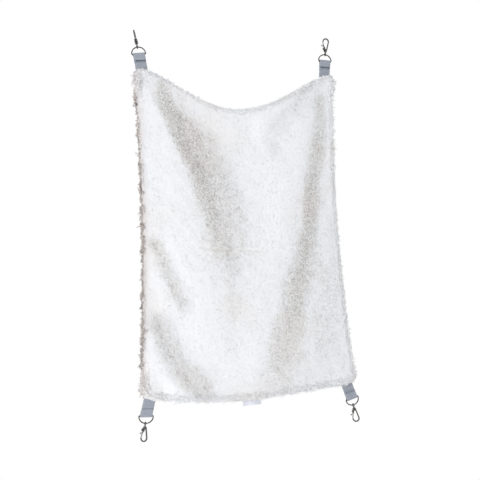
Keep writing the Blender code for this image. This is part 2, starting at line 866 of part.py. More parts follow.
def leaf_mesh():
    """The bent leaf that pushes the gate shut, in the hook's frame."""
    half = leaf_thickness / 2
    floor = slot_floor + leaf_seat_gap + half
    line = [(-pivot_side - leaf_foot, floor), (-pivot_side + leaf_bow - leaf_foot / 2, floor)]
    line += [(-pivot_side + leaf_bow, floor + leaf_foot), (-pivot_side + leaf_bow, pivot_height + leaf_bend)]
    line += [(-pivot_side + leaf_tip, pivot_height + leaf_height)]
    return extruded("trigger_spring", ribbon(line, half), leaf_half_width)


def pin_mesh():
    pin = turned("trigger_pin", [(pin_radius, -cheek_half_depth), (pin_radius, cheek_half_depth)], 12)
    return moved(pin, Matrix.Rotation(math.pi / 2, 4, "X"))


def make_corner(name, parts):
    """One corner's strap, ring, eye and hook, each carried by the one before it."""
    make_strap(name)
    ring, eye, hook = corner_frames(name)
    pin = hook @ Matrix.Translation((-pivot_side, 0, pivot_height))
    piece("d_ring_" + name, parts["ring"], "nickel", ring, "webbing_strap_" + name)
    piece("swivel_eye_" + name, parts["eye"], "nickel", eye, "d_ring_" + name)
    piece("hook_body_" + name, parts["hook"], "nickel", hook, "swivel_eye_" + name)
    piece("trigger_" + name, parts["trigger"], "nickel", pin, "hook_body_" + name)
    piece("trigger_pin_" + name, parts["pin"], "nickel", pin, "hook_body_" + name)
    piece("trigger_spring_" + name, parts["leaf"], "spring_steel", hook, "hook_body_" + name)


def main():
    make_mat()
    piece("care_label", label_sheet("care_label", 0, label_thickness / 2), "label")
    parts = {
        "ring": ring_mesh(),
        "eye": eye_mesh(),
        "hook": hook_mesh(),
        "trigger": trigger_mesh(),
        "leaf": leaf_mesh(),
        "pin": pin_mesh(),
    }
    for name in corners:
        make_corner(name, parts)


main()
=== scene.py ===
"""Looks of a small pet hammock: a fleece mat hung by a webbing strap, a D-ring and a swivel
trigger hook at each corner. Metres, in the part's own frame: +Z up, the curly front faces -Y."""

import math

import bpy
import numpy as np
from mathutils import Matrix, Vector


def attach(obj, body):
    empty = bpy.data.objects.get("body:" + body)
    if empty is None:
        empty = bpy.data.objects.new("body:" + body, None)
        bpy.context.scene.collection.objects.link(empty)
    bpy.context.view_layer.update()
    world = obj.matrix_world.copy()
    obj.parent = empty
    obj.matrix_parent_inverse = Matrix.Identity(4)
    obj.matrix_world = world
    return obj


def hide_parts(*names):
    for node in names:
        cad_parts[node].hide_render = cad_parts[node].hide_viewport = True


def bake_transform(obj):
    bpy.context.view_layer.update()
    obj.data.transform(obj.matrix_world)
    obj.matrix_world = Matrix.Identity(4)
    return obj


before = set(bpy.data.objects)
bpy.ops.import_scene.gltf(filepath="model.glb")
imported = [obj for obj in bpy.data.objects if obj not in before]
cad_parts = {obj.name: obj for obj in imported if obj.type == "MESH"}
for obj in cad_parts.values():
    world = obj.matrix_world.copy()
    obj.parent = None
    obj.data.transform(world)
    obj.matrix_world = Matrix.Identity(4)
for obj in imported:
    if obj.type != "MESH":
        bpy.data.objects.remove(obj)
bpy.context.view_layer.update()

# ---------------------------------------------------------------- sizes of the part
mat_width, mat_length = 0.380, 0.540
front_pile, back_pile = 0.008, 0.005
edge_roll, corner_radius = 0.008, 0.010
core_face = 0.00125
top_draw_in, bottom_draw_in = 0.024, 0.004
top_sag, bottom_bulge, bulge_skew = 0.065, 0.014, 0.4
left_bow, right_bow, bow_skew = 0.008, 0.011, 0.9
left_sag_share, right_sag_share = 0.90, 0.80
left_ridge, hollow_depth, right_ridge = 0.003, 0.0120, 0.0050
right_behind, edge_behind, belly, belly_skew = 0.0025, 0.0020, 0.003, 1.6
taut_reach, free_reach = 0.018, 0.045

# Folds: how far down, then how far across
left_fold = (
    (0.05, -0.77), (0.11, -0.65), (0.18, -0.56), (0.25, -0.43),
    (0.32, -0.37), (0.47, -0.27), (0.61, -0.15), (0.75, -0.11),
)
right_fold = (
    (0.02, 0.93), (0.13, 0.85), (0.24, 0.80), (0.36, 0.72), (0.47, 0.69),
    (0.57, 0.63), (0.66, 0.57), (0.75, 0.50), (0.84, 0.42), (1.0, 0.35),
)

# How far down, then how strong the folds are there
left_growth = ((0.0, 0.1), (0.15, 0.4), (0.35, 1.0), (0.5, 0.75), (0.65, 0.3), (0.78, 0.0))
hollow_growth = (
    (0.0, 0.5), (0.1, 1.15), (0.2, 1.1), (0.3, 0.84), (0.5, 0.46), (0.62, 0.1), (0.7, 0.0),
)
right_growth = ((0.0, 0.1), (0.1, 0.3), (0.3, 0.35), (0.5, 0.65), (0.7, 0.95), (0.9, 0.7), (1.0, 0.3))
behind_growth = ((0.0, 0.5), (0.15, 1.0), (0.5, 1.0), (0.75, 0.3), (0.9, 0.1), (1.0, 0.0))

# How far down, then how wide the folds' slopes are there, as shares across
left_spread = ((0.05, 0.12), (0.2, 0.16), (0.4, 0.15), (0.7, 0.12))
right_ahead = ((0.45, 0.12), (0.65, 0.25), (1.0, 0.32))
rise_start = ((0.1, 0.55), (0.4, 0.5), (0.62, 0.08))
hollow_reach, hollow_lead, hollow_ease, hollow_lip = 0.85, 0.02, 0.06, (-0.14, 0.26)
right_spread, left_limit, right_limit, crease_fade = 0.12, -0.94, 0.96, 0.2

# Creases: their lines across and down, and for each its depth and its width on either side
lower_crease = (
    (-0.90, 0.715), (-0.86, 0.765), (-0.81, 0.82), (-0.71, 0.88),
    (-0.57, 0.94), (-0.42, 0.99), (-0.25, 1.04),
)
side_crease = ((-0.93, 0.50), (-0.89, 0.54), (-0.80, 0.60), (-0.71, 0.66), (-0.61, 0.72), (-0.55, 0.75))
upper_crease = ((0.97, -0.01), (0.84, 0.016), (0.64, 0.046), (0.48, 0.068), (0.34, 0.10), (0.20, 0.13))
creases = (
    (0.0047, 0.026, 0.034, lower_crease),
    (0.0017, 0.016, 0.020, side_crease),
    (0.0034, 0.024, 0.034, upper_crease),
)

label_width, label_hang, label_sewn, label_place, label_curl = 0.032, 0.010, 0.009, -0.001, 0.003

webbing_half, strap_half, rib_pitch, rib_height = 0.010, 0.00065, 0.0011, 0.00007
selvedge_thinning, edge_waver, strap_step, bend_reach = 0.35, 0.00012, 0.00028, 0.0035
strap_inset, strap_reach, strap_tail = 0.014, 0.0265, 0.012
fold_length, fold_spread, layer_spacing = 0.0125, 0.005, 0.0017
hinge_gap, notch_gap, bar_fit = 0.0003, 0.0004, 0.00035

ring_wire, ring_half, ring_depth, ring_corner = 0.00105, 0.01175, 0.0122, 0.0016
eye_wire, eye_bore, eye_slack, neck_gap = 0.00085, 0.0020, 0.0003, 0.0005
shank_radius, rivet_radius, rivet_height, shank_gap = 0.00105, 0.00175, 0.0010, 0.0003
barrel_radius, barrel_height, barrel_floor, cavity_radius = 0.0031, 0.0052, 0.0015, 0.0022
hook_length, hook_half_width = 0.0250, 0.00625
claw_half_width, claw_half_depth, claw_foot, claw_start = 0.00115, 0.0015, 0.0023, 0.0030
nose_height, crown_steps, claw_sides = 0.0172, 9, 8
pivot_side, pivot_height = 0.0029, 0.0072
cheek_half_depth, cheek_out, cheek_rise, cheek_foot = 0.0026, 0.0017, 0.0015, 0.0028
hub_radius, hub_half_depth, slot_gap, gate_gap = 0.00135, 0.0009, 0.0003, 0.0003
stem_half_width, stem_half_depth = 0.0008, 0.00085
lug_height, lug_reach, lug_rise, lug_half_width, lug_half_depth = 0.0100, 0.0037, 0.0012, 0.0008, 0.0007
lug_knob, pin_radius = 0.0011, 0.00055

# For each corner: its side and end of the mat, the leans of its strap, ring and hook and the turn of
# its hook in degrees, and the face of the strap that its fold lies on
corners = {
    "top_left": (-1, 1, 8.4, 6.0, 9.7, 74.0, -1),
    "top_right": (1, 1, 5.8, 3.8, 5.9, 0.0, -1),
    "bottom_left": (-1, -1, 15.6, 3.0, 8.1, 166.0, 1),
    "bottom_right": (1, -1, 18.8, 15.6, 9.5, 199.0, -1),
}

half_length = mat_length / 2
top_half = (mat_width - top_draw_in) / 2
bottom_half = (mat_width - bottom_draw_in) / 2
half_at = {1: top_half, -1: bottom_half}

# ---------------------------------------------------------------- the hung surface, on arrays


def interpolated(table, at, soft=0.03):
    """The value of a table of (place, value) rows, with its corners rounded off."""
    places, values = zip(*table)
    return sum(np.interp(at + shift * soft, places, values) for shift in (-1, -0.5, 0, 0.5, 1)) / 5


def edge_reach(across, down):
    """Half the mat's width at a share of the way down; the sides draw in between the corners."""
    bow = np.where(across < 0, left_bow, right_bow)
    return top_half + (bottom_half - top_half) * down - bow * np.sin(np.pi * down**bow_skew)


def corner_drop(across, reach):
    """How far the rounded corners fall short of the edge's line."""
    missing = np.maximum(corner_radius - (1 - np.abs(across)) * reach, 0)
    return corner_radius - np.sqrt(np.maximum(corner_radius**2 - missing**2, 0))


def top_height(across):
    """Height of the top edge, which sags between the upper straps."""
    sag_share = np.where(across < 0, left_sag_share, right_sag_share)
    sag = top_sag * np.sin(np.pi / 2 * (1 - np.abs(across)) ** sag_share) ** 2
    return half_length - sag - corner_drop(across, top_half)


def bottom_height(across):
    """Height of the bottom edge, which bulges downwards."""
    bulge = bottom_bulge * np.cos(np.pi / 2 * across) * (1 - bulge_skew * across)
    return -half_length - bulge + corner_drop(across, bottom_half)


def edge_place(across, end):
    """The place of the mat's top or bottom edge at a share across."""
    height = top_height(across) if end > 0 else bottom_height(across)
    return Vector((across * half_at[end], 0, float(height)))


ends = [(side, end) for side in (-1, 1) for end in (-1, 1)]
strap_bases = {(s, e): edge_place(s * (1 - strap_inset / half_at[e]), e) for s, e in ends}


def eased(knots, at):
    """A smooth curve through (place, value) knots, each of which may be an array."""
    total = knots[0][1] + 0 * at
    for (start, low), (end, high) in zip(knots, knots[1:]):
        share = np.clip((at - start) / (end - start), 0, 1)
        total = total + (high - low) * (1 - np.cos(np.pi * share)) / 2
    return total


def line_distance(across, down, line):
    """Signed distance on the flat mat to a line given in shares, and the share of it run by there."""
    px, py = across * mat_width / 2, down * mat_length
    best, along = np.full(np.shape(px), 9.0), np.zeros(np.shape(px))
    points = [(a * mat_width / 2, d * mat_length) for a, d in line]
    for n, ((x0, y0), (x1, y1)) in enumerate(zip(points, points[1:])):
        dx, dy = x1 - x0, y1 - y0
        t = np.clip(((px - x0) * dx + (py - y0) * dy) / (dx * dx + dy * dy), 0, 1)
        ox, oy = px - x0 - t * dx, py - y0 - t * dy
        gap = np.copysign(np.hypot(ox, oy), dy * ox - dx * oy)
        near = np.abs(gap) < np.abs(best)
        best, along = np.where(near, gap, best), np.where(near, (n + t) / (len(line) - 1), along)
    return best, along


def smooth(low, high, at):
    """From 0 at low to 1 at high, level at both; low may be the greater."""
    t = np.clip((at - low) / (high - low), 0, 1)
    return t * t * (3 - 2 * t)


def hung(across, down):
    """Places of the mat's middle surface, as an array of points."""
    across, down = np.broadcast_arrays(np.asarray(across, float), np.asarray(down, float))
    top, bottom = top_height(across), bottom_height(across)
    x, z = across * edge_reach(across, down), top + (bottom - top) * down
    left, right = interpolated(left_fold, down), interpolated(right_fold, down)
    first, last = left - interpolated(left_spread, down), right - interpolated(right_ahead, down)
    rising = first + interpolated(rise_start, down)
    crest = -left_ridge * interpolated(left_growth, down)
    floor = hollow_depth * interpolated(hollow_growth, down)
    y = eased([(-1, 0), (np.maximum(first, left_limit), crest)], across)
    share = np.clip((across - first + hollow_lead) / hollow_reach, 0, 1)
    share = share * share / (share + hollow_ease)
    y += (floor - crest) * (1 - (1 - share) ** 3) * smooth(*hollow_lip, across - first)
    crest = -right_ridge * interpolated(right_growth, down)
    y += (crest - floor) * smooth(0, 1, np.clip((across - rising) / (last - rising), 0, 1))
    foot = right_behind * interpolated(behind_growth, down) - crest
    edge = edge_behind * np.sin(np.pi * down) - crest
    y += eased([(last, 0), (np.minimum(right + right_spread, right_limit), foot), (1, edge)], across)
    y -= belly * np.cos(np.pi / 2 * across) * np.sin(np.pi * down**belly_skew)
    for depth, before, after, line in creases:
        gap, along = line_distance(across, down, line)
        q = gap / np.where(gap < 0, before, after)
        faded = smooth(0, crease_fade, along) * smooth(1, 1 - crease_fade, along)
        y += depth * q * np.exp((1 - q * q) / 2) * faded
    near = np.min([np.hypot(x - b.x, z - b.z) for b in strap_bases.values()], axis=0)
    y = y * smooth(taut_reach, free_reach, near)
    return np.stack([x, y, z], -1)


# ---------------------------------------------------------------- frames of the corners


def leaning(side, end, lean):
    """The direction out of a corner that leans outwards by an angle in degrees."""
    angle = math.radians(lean)
    return Vector((side * math.sin(angle), 0, end * math.cos(angle)))


def frame_at(place, direction):
    """A frame whose Z runs along a direction in the XZ plane."""
    backward = Vector((0, 1, 0))
    turn = Matrix((backward.cross(direction), backward, direction)).transposed()
    return Matrix.Translation(place) @ turn.to_4x4()


ring_rise = ring_depth - ring_corner
eye_offset = eye_bore - ring_wire - eye_slack
eye_outer = eye_bore + 2 * eye_wire
hook_offset = eye_offset + eye_outer + neck_gap
claw_half = hook_half_width - claw_half_width
crown_centre = hook_length - claw_half_width - claw_half
bearing_height = crown_centre + claw_half * math.cos(math.pi / 2 / crown_steps)
bearing_height -= claw_half_width * math.cos(math.pi / claw_sides)


def corner_frames(name):
    """Matrices of a corner's ring, eye and hook, relative to the mat's centre."""
    side, end, strap_lean, ring_lean, hook_lean, turn, _ = corners[name]
    start = strap_bases[side, end] + leaning(side, end, strap_lean) * strap_reach
    ring = frame_at(start, leaning(side, end, ring_lean))
    pull = ring.inverted().to_3x3() @ leaning(side, end, hook_lean)
    angle = math.pi / 2 - math.atan(ring_half * pull.x / pull.z / ring_rise)
    bow = Vector((ring_half * math.cos(angle), 0, ring_corner + ring_rise * math.sin(angle)))
    eye = frame_at(ring @ bow, leaning(side, end, hook_lean))
    swivel = Matrix.Rotation(math.radians(turn), 4, "Z")
    return ring, eye, eye @ Matrix.Translation((0, 0, hook_offset)) @ swivel


upper = [corner_frames(name)[2] @ Vector((0, 0, bearing_height)) for name in ("top_left", "top_right")]
rail = (upper[0].z + upper[1].z) / 2
to_origin = Matrix.Translation((0, 0, -rail))


def strap_levels(name):
    """Height of the bend at the seam, height of the seam and the strap's skew, in the ring's frame."""
    side, end = corners[name][:2]
    to_ring = corner_frames(name)[0].inverted()
    base = to_ring @ strap_bases[side, end]
    skew = base.x / base.z
    edge = base.z
    for share in np.linspace(0, 1, 61):
        place = to_ring @ edge_place(side * (1 - 2 * strap_inset / half_at[end] * share), end)
        if abs(place.x - skew * place.z) <= webbing_half + notch_gap:
            edge = max(edge, place.z)
    return edge + hinge_gap + strap_half, base.z, skew


# ---------------------------------------------------------------- mesh helpers


def mesh_object(name, points, quads, finish, values=None, bend=None, bend_share=0):
    """A smooth mesh from arrays, where a triangle is a row of four that ends in -1. Its normals may
    be bent towards others, so that fine fibres are lit like the soft pile that they stand in."""
    quads = np.asarray(quads)
    mesh = bpy.data.meshes.new(name)
    mesh.vertices.add(len(points))
    mesh.vertices.foreach_set("co", np.asarray(points, np.float32).ravel())
    counts = (quads >= 0).sum(1)
    mesh.loops.add(int(counts.sum()))
    mesh.loops.foreach_set("vertex_index", quads[quads >= 0].astype(np.int32))
    mesh.polygons.add(len(quads))
    mesh.polygons.foreach_set("loop_start", (np.cumsum(counts) - counts).astype(np.int32))
    mesh.polygons.foreach_set("use_smooth", np.full(len(quads), True))
    mesh.update(calc_edges=True)
    mesh.materials.append(finish)
    for key, numbers in (values or {}).items():
        layer = mesh.attributes.new(key, "FLOAT", "POINT")
        layer.data.foreach_set("value", np.asarray(numbers, np.float32))
    if bend is not None:
        own = np.empty(len(points) * 3, np.float32)
        mesh.vertices.foreach_get("normal", own)
        bent = unit(own.reshape(-1, 3) * (1 - bend_share) + bend * bend_share)
        mesh.normals_split_custom_set_from_vertices(bent)
    thing = bpy.data.objects.new(name, mesh)
    bpy.context.scene.collection.objects.link(thing)
    return thing


def unit(vectors):
    return vectors / np.maximum(np.linalg.norm(vectors, axis=-1, keepdims=True), 1e-12)


def circle(sides):
    """Cosines and sines of the angles of a polygon's corners."""
    angle = np.arange(sides) * 2 * np.pi / sides
    return np.cos(angle), np.sin(angle)


def band_quads(rows, sides, closed=False):
    """Faces between rows of points that each run round; closed joins the last row to the first."""
    k = np.arange(sides)
    after = (k + 1) % sides
    here = (np.arange(rows if closed else rows - 1) * sides)[:, None]
    there = (here + sides) % (rows * sides)
    return np.stack([here + k, here + after, there + after, there + k], -1).reshape(-1, 4)


def fan_faces(start, sides, middle, flip=False):
    """Triangles from a row of points that runs round to a middle point."""
    k = np.arange(sides)
    rim = [start + k, start + (k + 1) % sides]
    return np.stack([*(rim[::-1] if flip else rim), np.full(sides, middle), np.full(sides, -1)], 1)


def tubes(paths, radii, sides):
    """Closed tapering tubes along many paths at once: paths is (tubes, points, 3)."""
    count, steps = paths.shape[:2]
    run = unit(np.gradient(paths, axis=1))
    spare = np.where(np.abs(run[:, :1, 2:]) < 0.9, [[[0.0, 0, 1]]], [[[1.0, 0, 0]]])
    first = unit(np.cross(run, np.broadcast_to(spare, run.shape)))
    second = np.cross(run, first)
    cos, sin = circle(sides)
    ring = first[:, :, None] * cos[:, None] + second[:, :, None] * sin[:, None]
    points = (paths[:, :, None] + ring * radii[:, :, None, None]).reshape(-1, 3)
    start = (np.arange(count) * steps * sides)[:, None]
    walls = (start[:, None] + band_quads(steps, sides)).reshape(-1, 4)
    low, high = start + np.arange(sides)[::-1], start + (steps - 1) * sides + np.arange(sides)
    ends = np.concatenate([low, high])
    if sides == 3:
        ends = np.pad(ends, ((0, 0), (0, 1)), constant_values=-1)
    return points, np.concatenate([walls, ends])


def grid_quads(wide, high, flip=False):
    a = (np.arange(high - 1)[:, None] * wide + np.arange(wide - 1)).ravel()
    quads = np.stack([a, a + wide, a + wide + 1, a + 1], 1)
    return quads[:, ::-1] if flip else quads


def closed_sheet(front, back):
    """Points and faces of a closed sheet from two grids of points, shaped (rows, columns, 3)."""
    high, wide = front.shape[:2]
    far = wide * high
    rim = list(range(wide)) + [j * wide + wide - 1 for j in range(1, high)]
    rim += [far - 1 - i for i in range(1, wide)] + [(high - 1 - j) * wide for j in range(1, high - 1)]
    rim = np.array(rim)
    after = np.roll(rim, -1)
    sides = np.stack([rim, after, after + far, rim + far], 1)
    points = np.concatenate([front.reshape(-1, 3), back.reshape(-1, 3)])
    return points, np.concatenate([grid_quads(wide, high), grid_quads(wide, high, True) + far, sides])


def value_noise(u, v, pitch, seed):
    """Smooth random numbers from 0 to 1 on a lattice of this pitch."""
    table = np.random.default_rng(seed).random((256, 256))
    i, j = np.floor(u / pitch).astype(int), np.floor(v / pitch).astype(int)
    s, t = u / pitch - i, v / pitch - j
    s, t = s * s * (3 - 2 * s), t * t * (3 - 2 * t)
    near, far = (
        table[i % 256, row % 256] * (1 - s) + table[(i + 1) % 256, row % 256] * s for row in (j, j + 1)
    )
    return near * (1 - t) + far * t


# ---------------------------------------------------------------- materials

white, black = (1.0, 1.0, 1.0), (0.0, 0.0, 0.0)
# Painted glow: an emission on the loose pile at the rim, in place of light shining through it
painted_glow = 0.17  # how much light shines through thin pile


class Finish:
    """A node material, with short calls for the nodes that these finishes share. The colour that
    it starts from is the flat one for a viewer that doesn't run the nodes."""

    def __init__(self, name, colour, roughness, **sockets):
        self.material = bpy.data.materials.new(name)
        self.material.use_nodes = True
        self.nodes, self.links = self.material.node_tree.nodes, self.material.node_tree.links
        self.shader = self.nodes["Principled BSDF"]
        self.shade(Base_Color=colour, Roughness=roughness, **sockets)

    def put(self, socket, value):
        """Links a socket to the output of another node, or sets it; a tuple is a colour."""
        if isinstance(value, bpy.types.NodeSocket):
            self.links.new(value, socket)
        else:
            socket.default_value = (*value, 1) if isinstance(value, tuple) else value

    def feed(self, node, inputs):
        for key, value in inputs.items():
            self.put(node.inputs[key.replace("_", " ")], value)
        return node

    def shade(self, **inputs):
        self.feed(self.shader, inputs)

    def add(self, kind, **inputs):
        return self.feed(self.nodes.new("ShaderNode" + kind), inputs)

    def place(self):
        return self.add("TexCoord").outputs["Object"]

    def noise(self, scale, detail, rough):
        node = self.add("TexNoise", Vector=self.place(), Scale=scale, Detail=detail, Roughness=rough)
        return node.outputs["Fac"]

    def ramp(self, value, *stops):
        node = self.add("ValToRGB", Fac=value)
        ramp = node.color_ramp
        for n, (at, colour) in enumerate(stops):
            stop = ramp.elements[n] if n < 2 else ramp.elements.new(at)
            stop.position, stop.color = at, (*colour, 1)
        return node.outputs["Color"]

    def mixed(self, share, first, second, way="MULTIPLY"):
        node = self.nodes.new("ShaderNodeMix")
        node.data_type, node.blend_type = "RGBA", way
        for n, value in ((0, share), (6, first), (7, second)):
            self.put(node.inputs[n], value)
        return node.outputs[2]

    def maths(self, way, *values):
        node = self.nodes.new("ShaderNodeMath")
        node.operation = way
        for socket, value in zip(node.inputs, values):
            self.put(socket, value)
        return node.outputs[0]

    def weave(self, vector, across, along, pitches):
        """From 0 to 1 over a plain weave that runs along two axes of a vector."""
        split = self.add("SeparateXYZ", Vector=vector)
        threads = []
        for axis, pitch in zip((across, along), pitches):
            turns = self.maths("MULTIPLY", split.outputs[axis], 2 * math.pi / pitch)
            threads.append(self.maths("SINE", turns))
        return self.maths("MULTIPLY_ADD", self.maths("MULTIPLY", *threads), 0.5, 0.5)

    def attribute(self, name):
        node = self.nodes.new("ShaderNodeAttribute")
        node.attribute_name = name
        return node.outputs["Fac"]

    def bump(self, height, strength, distance):
        node = self.add("Bump", Height=height, Strength=strength, Distance=distance)
        self.shade(Normal=node.outputs["Normal"])


def sherpa_finish():
    """Bleached curly fleece, with painted shade: warm dark grains where the pile lies open on folds
    turned away from the key lamp, and a deeper, warmer colour at the roots of the curls, between the
    clumps and along the seam, paler at the tips. The loose pile at the rim has a painted glow.
    """
    made = Finish("sherpa_pile", (0.87, 0.87, 0.86), 0.95, Sheen_Weight=0.15, Sheen_Roughness=0.6)
    # Painted shade: the deep warm colour at low tone darkens the roots of the curls, the gaps between
    # the clumps and the seam
    deep, middle, tip = (0.76, 0.735, 0.70), (0.885, 0.885, 0.895), (0.915, 0.925, 0.95)
    curls = made.ramp(made.attribute("tone_and_shade"), (0.0, deep), (0.5, middle), (1.0, tip))
    patches = made.ramp(made.noise(9.0, 2.0, 0.5), (0.45, black), (0.7, white))
    warm = made.mixed(patches, curls, (0.975, 0.955, 0.935))
    # Painted shade: warm dark grains where the pile lies open, on folds turned away from the key lamp
    painted_shade_grain, pale_grain = (0.645, 0.60, 0.545), (1.0, 0.995, 0.985)
    shade_grains = made.ramp(made.noise(430.0, 2.0, 0.6), (0.36, painted_shade_grain), (0.60, pale_grain))
    opened_and_shaded = made.mixed(made.attribute("opened_and_shaded"), warm, shade_grains)
    tinted = made.mixed(made.attribute("tint"), opened_and_shaded, (0.87, 0.825, 0.81))
    # Painted glow on the loose locks at the rim
    glow = made.maths("MULTIPLY", made.attribute("painted_glow_share"), painted_glow)
    made.shade(Base_Color=tinted, Emission_Color=pale_grain, Emission_Strength=glow)
    made.bump(made.noise(1700.0, 4.0, 0.7), 0.40, 0.0006)
    return made.material


def plush_finish():
    """Short grey-brown plush with scattered irregular dark spots."""
    made = Finish("plush_pile", (0.36, 0.31, 0.28), 0.92, Sheen_Weight=0.35, Sheen_Roughness=0.5)
    ground = (0.30, (0.70, 0.635, 0.60)), (0.58, (0.57, 0.50, 0.465))
    spot = (0.65, (0.36, 0.30, 0.275)), (0.685, (0.035, 0.026, 0.022))
    spots = made.ramp(made.noise(42.0, 2.5, 0.55), *ground, *spot)
    hairs = made.noise(900.0, 3.0, 0.7)
    shade = made.mixed(made.maths("MULTIPLY", hairs, 0.4), spots, (0.76, 0.71, 0.68), "MIX")
    # Painted shade: the roots of the plush locks and the plush face are darker than the tips
    tip = made.mixed(made.attribute("tone_and_shade"), (0.50, 0.47, 0.45), white, "MIX")
    made.shade(Base_Color=made.mixed(1.0, shade, tip))
    made.bump(hairs, 0.5, 0.0006)
    return made.material


def webbing_finish():
    """Woven polypropylene: fine ribs across the strap, and pairs of strands along it."""
    made = Finish("strap_webbing", (0.30, 0.335, 0.40), 0.62, Sheen_Weight=0.2, Sheen_Roughness=0.4)
    uv = made.nodes.new("ShaderNodeUVMap")
    uv.uv_map = "weave"
    weave = made.weave(uv.outputs["UV"], "X", "Y", (0.0014, rib_pitch))
    base = made.mixed(weave, (0.285, 0.305, 0.355), (0.40, 0.425, 0.48), "MIX")
    worn = made.ramp(made.noise(60.0, 3.0, 0.6), (0.35, black), (0.75, white))
    made.shade(Base_Color=made.mixed(worn, base, (0.93, 0.95, 0.95)))
    made.bump(weave, 0.5, 0.00025)
    return made.material


def thread_finish():
    """Dark twisted thread."""
    made = Finish("dark_thread", (0.05, 0.06, 0.075), 0.55, Sheen_Weight=0.1)
    fibres = made.noise(3500.0, 2.0, 0.5)
    dark, pale = (0.03, 0.036, 0.045), (0.075, 0.085, 0.105)
    made.shade(Base_Color=made.ramp(fibres, (0.3, dark), (0.7, pale)))
    made.bump(fibres, 0.6, 0.0001)
    return made.material


def nickel_finish():
    """Dark plated nickel: fine handling marks, and duller patches where the plating has worn."""
    plating = {"Metallic": 1.0, "Coat_Weight": 0.7, "Coat_Roughness": 0.05}
    made = Finish("dark_nickel", (0.19, 0.185, 0.18), 0.24, **plating)
    patches = made.noise(420.0, 4.0, 0.6)
    dark, middle, worn = (0.028, 0.026, 0.025), (0.06, 0.056, 0.053), (0.14, 0.125, 0.11)
    made.shade(Base_Color=made.ramp(patches, (0.3, dark), (0.55, middle), (0.8, worn)))
    made.shade(Roughness=made.maths("MULTIPLY_ADD", patches, 0.22, 0.12))
    made.bump(made.noise(1500.0, 2.0, 0.5), 0.08, 0.0001)
    return made.material


def steel_finish():
    """Bare spring steel, finely ground."""
    made = Finish("spring_leaf_steel", (0.42, 0.42, 0.43), 0.3, Metallic=1.0)
    grain = made.noise(2600.0, 2.0, 0.5)
    made.shade(Roughness=made.maths("MULTIPLY_ADD", grain, 0.3, 0.2))
    made.shade(Base_Color=made.ramp(grain, (0.3, (0.36, 0.36, 0.37)), (0.7, (0.48, 0.48, 0.49))))
    return made.material


def label_finish():
    """A blank satin label, with the fine cross ribs of its weave."""
    made = Finish("woven_label", (0.76, 0.77, 0.83), 0.42, Sheen_Weight=0.1)
    weave = made.weave(made.place(), "Z", "X", (0.0005, 0.0004))
    made.shade(Base_Color=made.mixed(weave, (0.73, 0.74, 0.81), (0.80, 0.81, 0.86), "MIX"))
    made.bump(weave, 0.25, 0.0001)
    return made.material


sherpa, plush, webbing = sherpa_finish(), plush_finish(), webbing_finish()
thread, nickel, steel, woven = thread_finish(), nickel_finish(), steel_finish(), label_finish()

# ---------------------------------------------------------------- camera, light and floor

camera_place = Vector((-0.5438, -1.5939, -0.4687))
camera_yaw, camera_pitch, camera_roll = 18.61, 3.99, -2.79
part_middle = Vector((0, 0, -0.33))
floor_radius, floor_level = 2.0, -1.25


def make_camera():
    """The camera of the photograph, fitted to the mat's corners and the roots of its straps."""
    data = bpy.data.cameras.new("camera")
    data.lens, data.sensor_width = 75.0, 36.0
    camera = bpy.data.objects.new("camera", data)
    place = Matrix.Translation(camera_place)
    for angle, axis in ((-camera_yaw, "Z"), (90 + camera_pitch, "X"), (camera_roll, "Z")):
        place = place @ Matrix.Rotation(math.radians(angle), 4, axis)
    camera.matrix_world = place
    bpy.context.scene.collection.objects.link(camera)
    bpy.context.scene.camera = camera


def white_rays(nodes, links):
    """1 for the rays that see the background itself: camera, glossy and transmission rays."""
    path = nodes.new("ShaderNodeLightPath")
    total = path.outputs["Is Camera Ray"]
    for key in ("Is Glossy Ray", "Is Transmission Ray"):
        node = nodes.new("ShaderNodeMath")
        node.operation = "MAXIMUM"
        links.new(total, node.inputs[0])
        links.new(path.outputs[key], node.inputs[1])
        total = node.outputs[0]
    return total


def make_world(level):
    """A soft pale light from all round, which the camera sees as plain white."""
    world = bpy.data.worlds.new("studio")
    bpy.context.scene.world = world
    world.use_nodes = True
    nodes, links = world.node_tree.nodes, world.node_tree.links
    light, backdrop = nodes["Background"], nodes.new("ShaderNodeBackground")
    for node, colour, strength in ((light, (0.965, 0.98, 1.0), level), (backdrop, white, 1.0)):
        node.inputs["Color"].default_value = (*colour, 1)
        node.inputs["Strength"].default_value = strength
    choice = nodes.new("ShaderNodeMixShader")
    links.new(white_rays(nodes, links), choice.inputs["Fac"])
    links.new(light.outputs[0], choice.inputs[1])
    links.new(backdrop.outputs[0], choice.inputs[2])
    links.new(choice.outputs[0], nodes["World Output"].inputs["Surface"])


def make_lamp(name, place, size, watts, colour):
    """A round soft lamp that is turned towards the middle of the part."""
    data = bpy.data.lights.new(name, "AREA")
    data.shape, data.size, data.energy, data.color = "DISK", size, watts, colour
    lamp = bpy.data.objects.new(name, data)
    lamp.location = place
    lamp.rotation_euler = (part_middle - Vector(place)).to_track_quat("-Z", "Y").to_euler()
    bpy.context.scene.collection.objects.link(lamp)


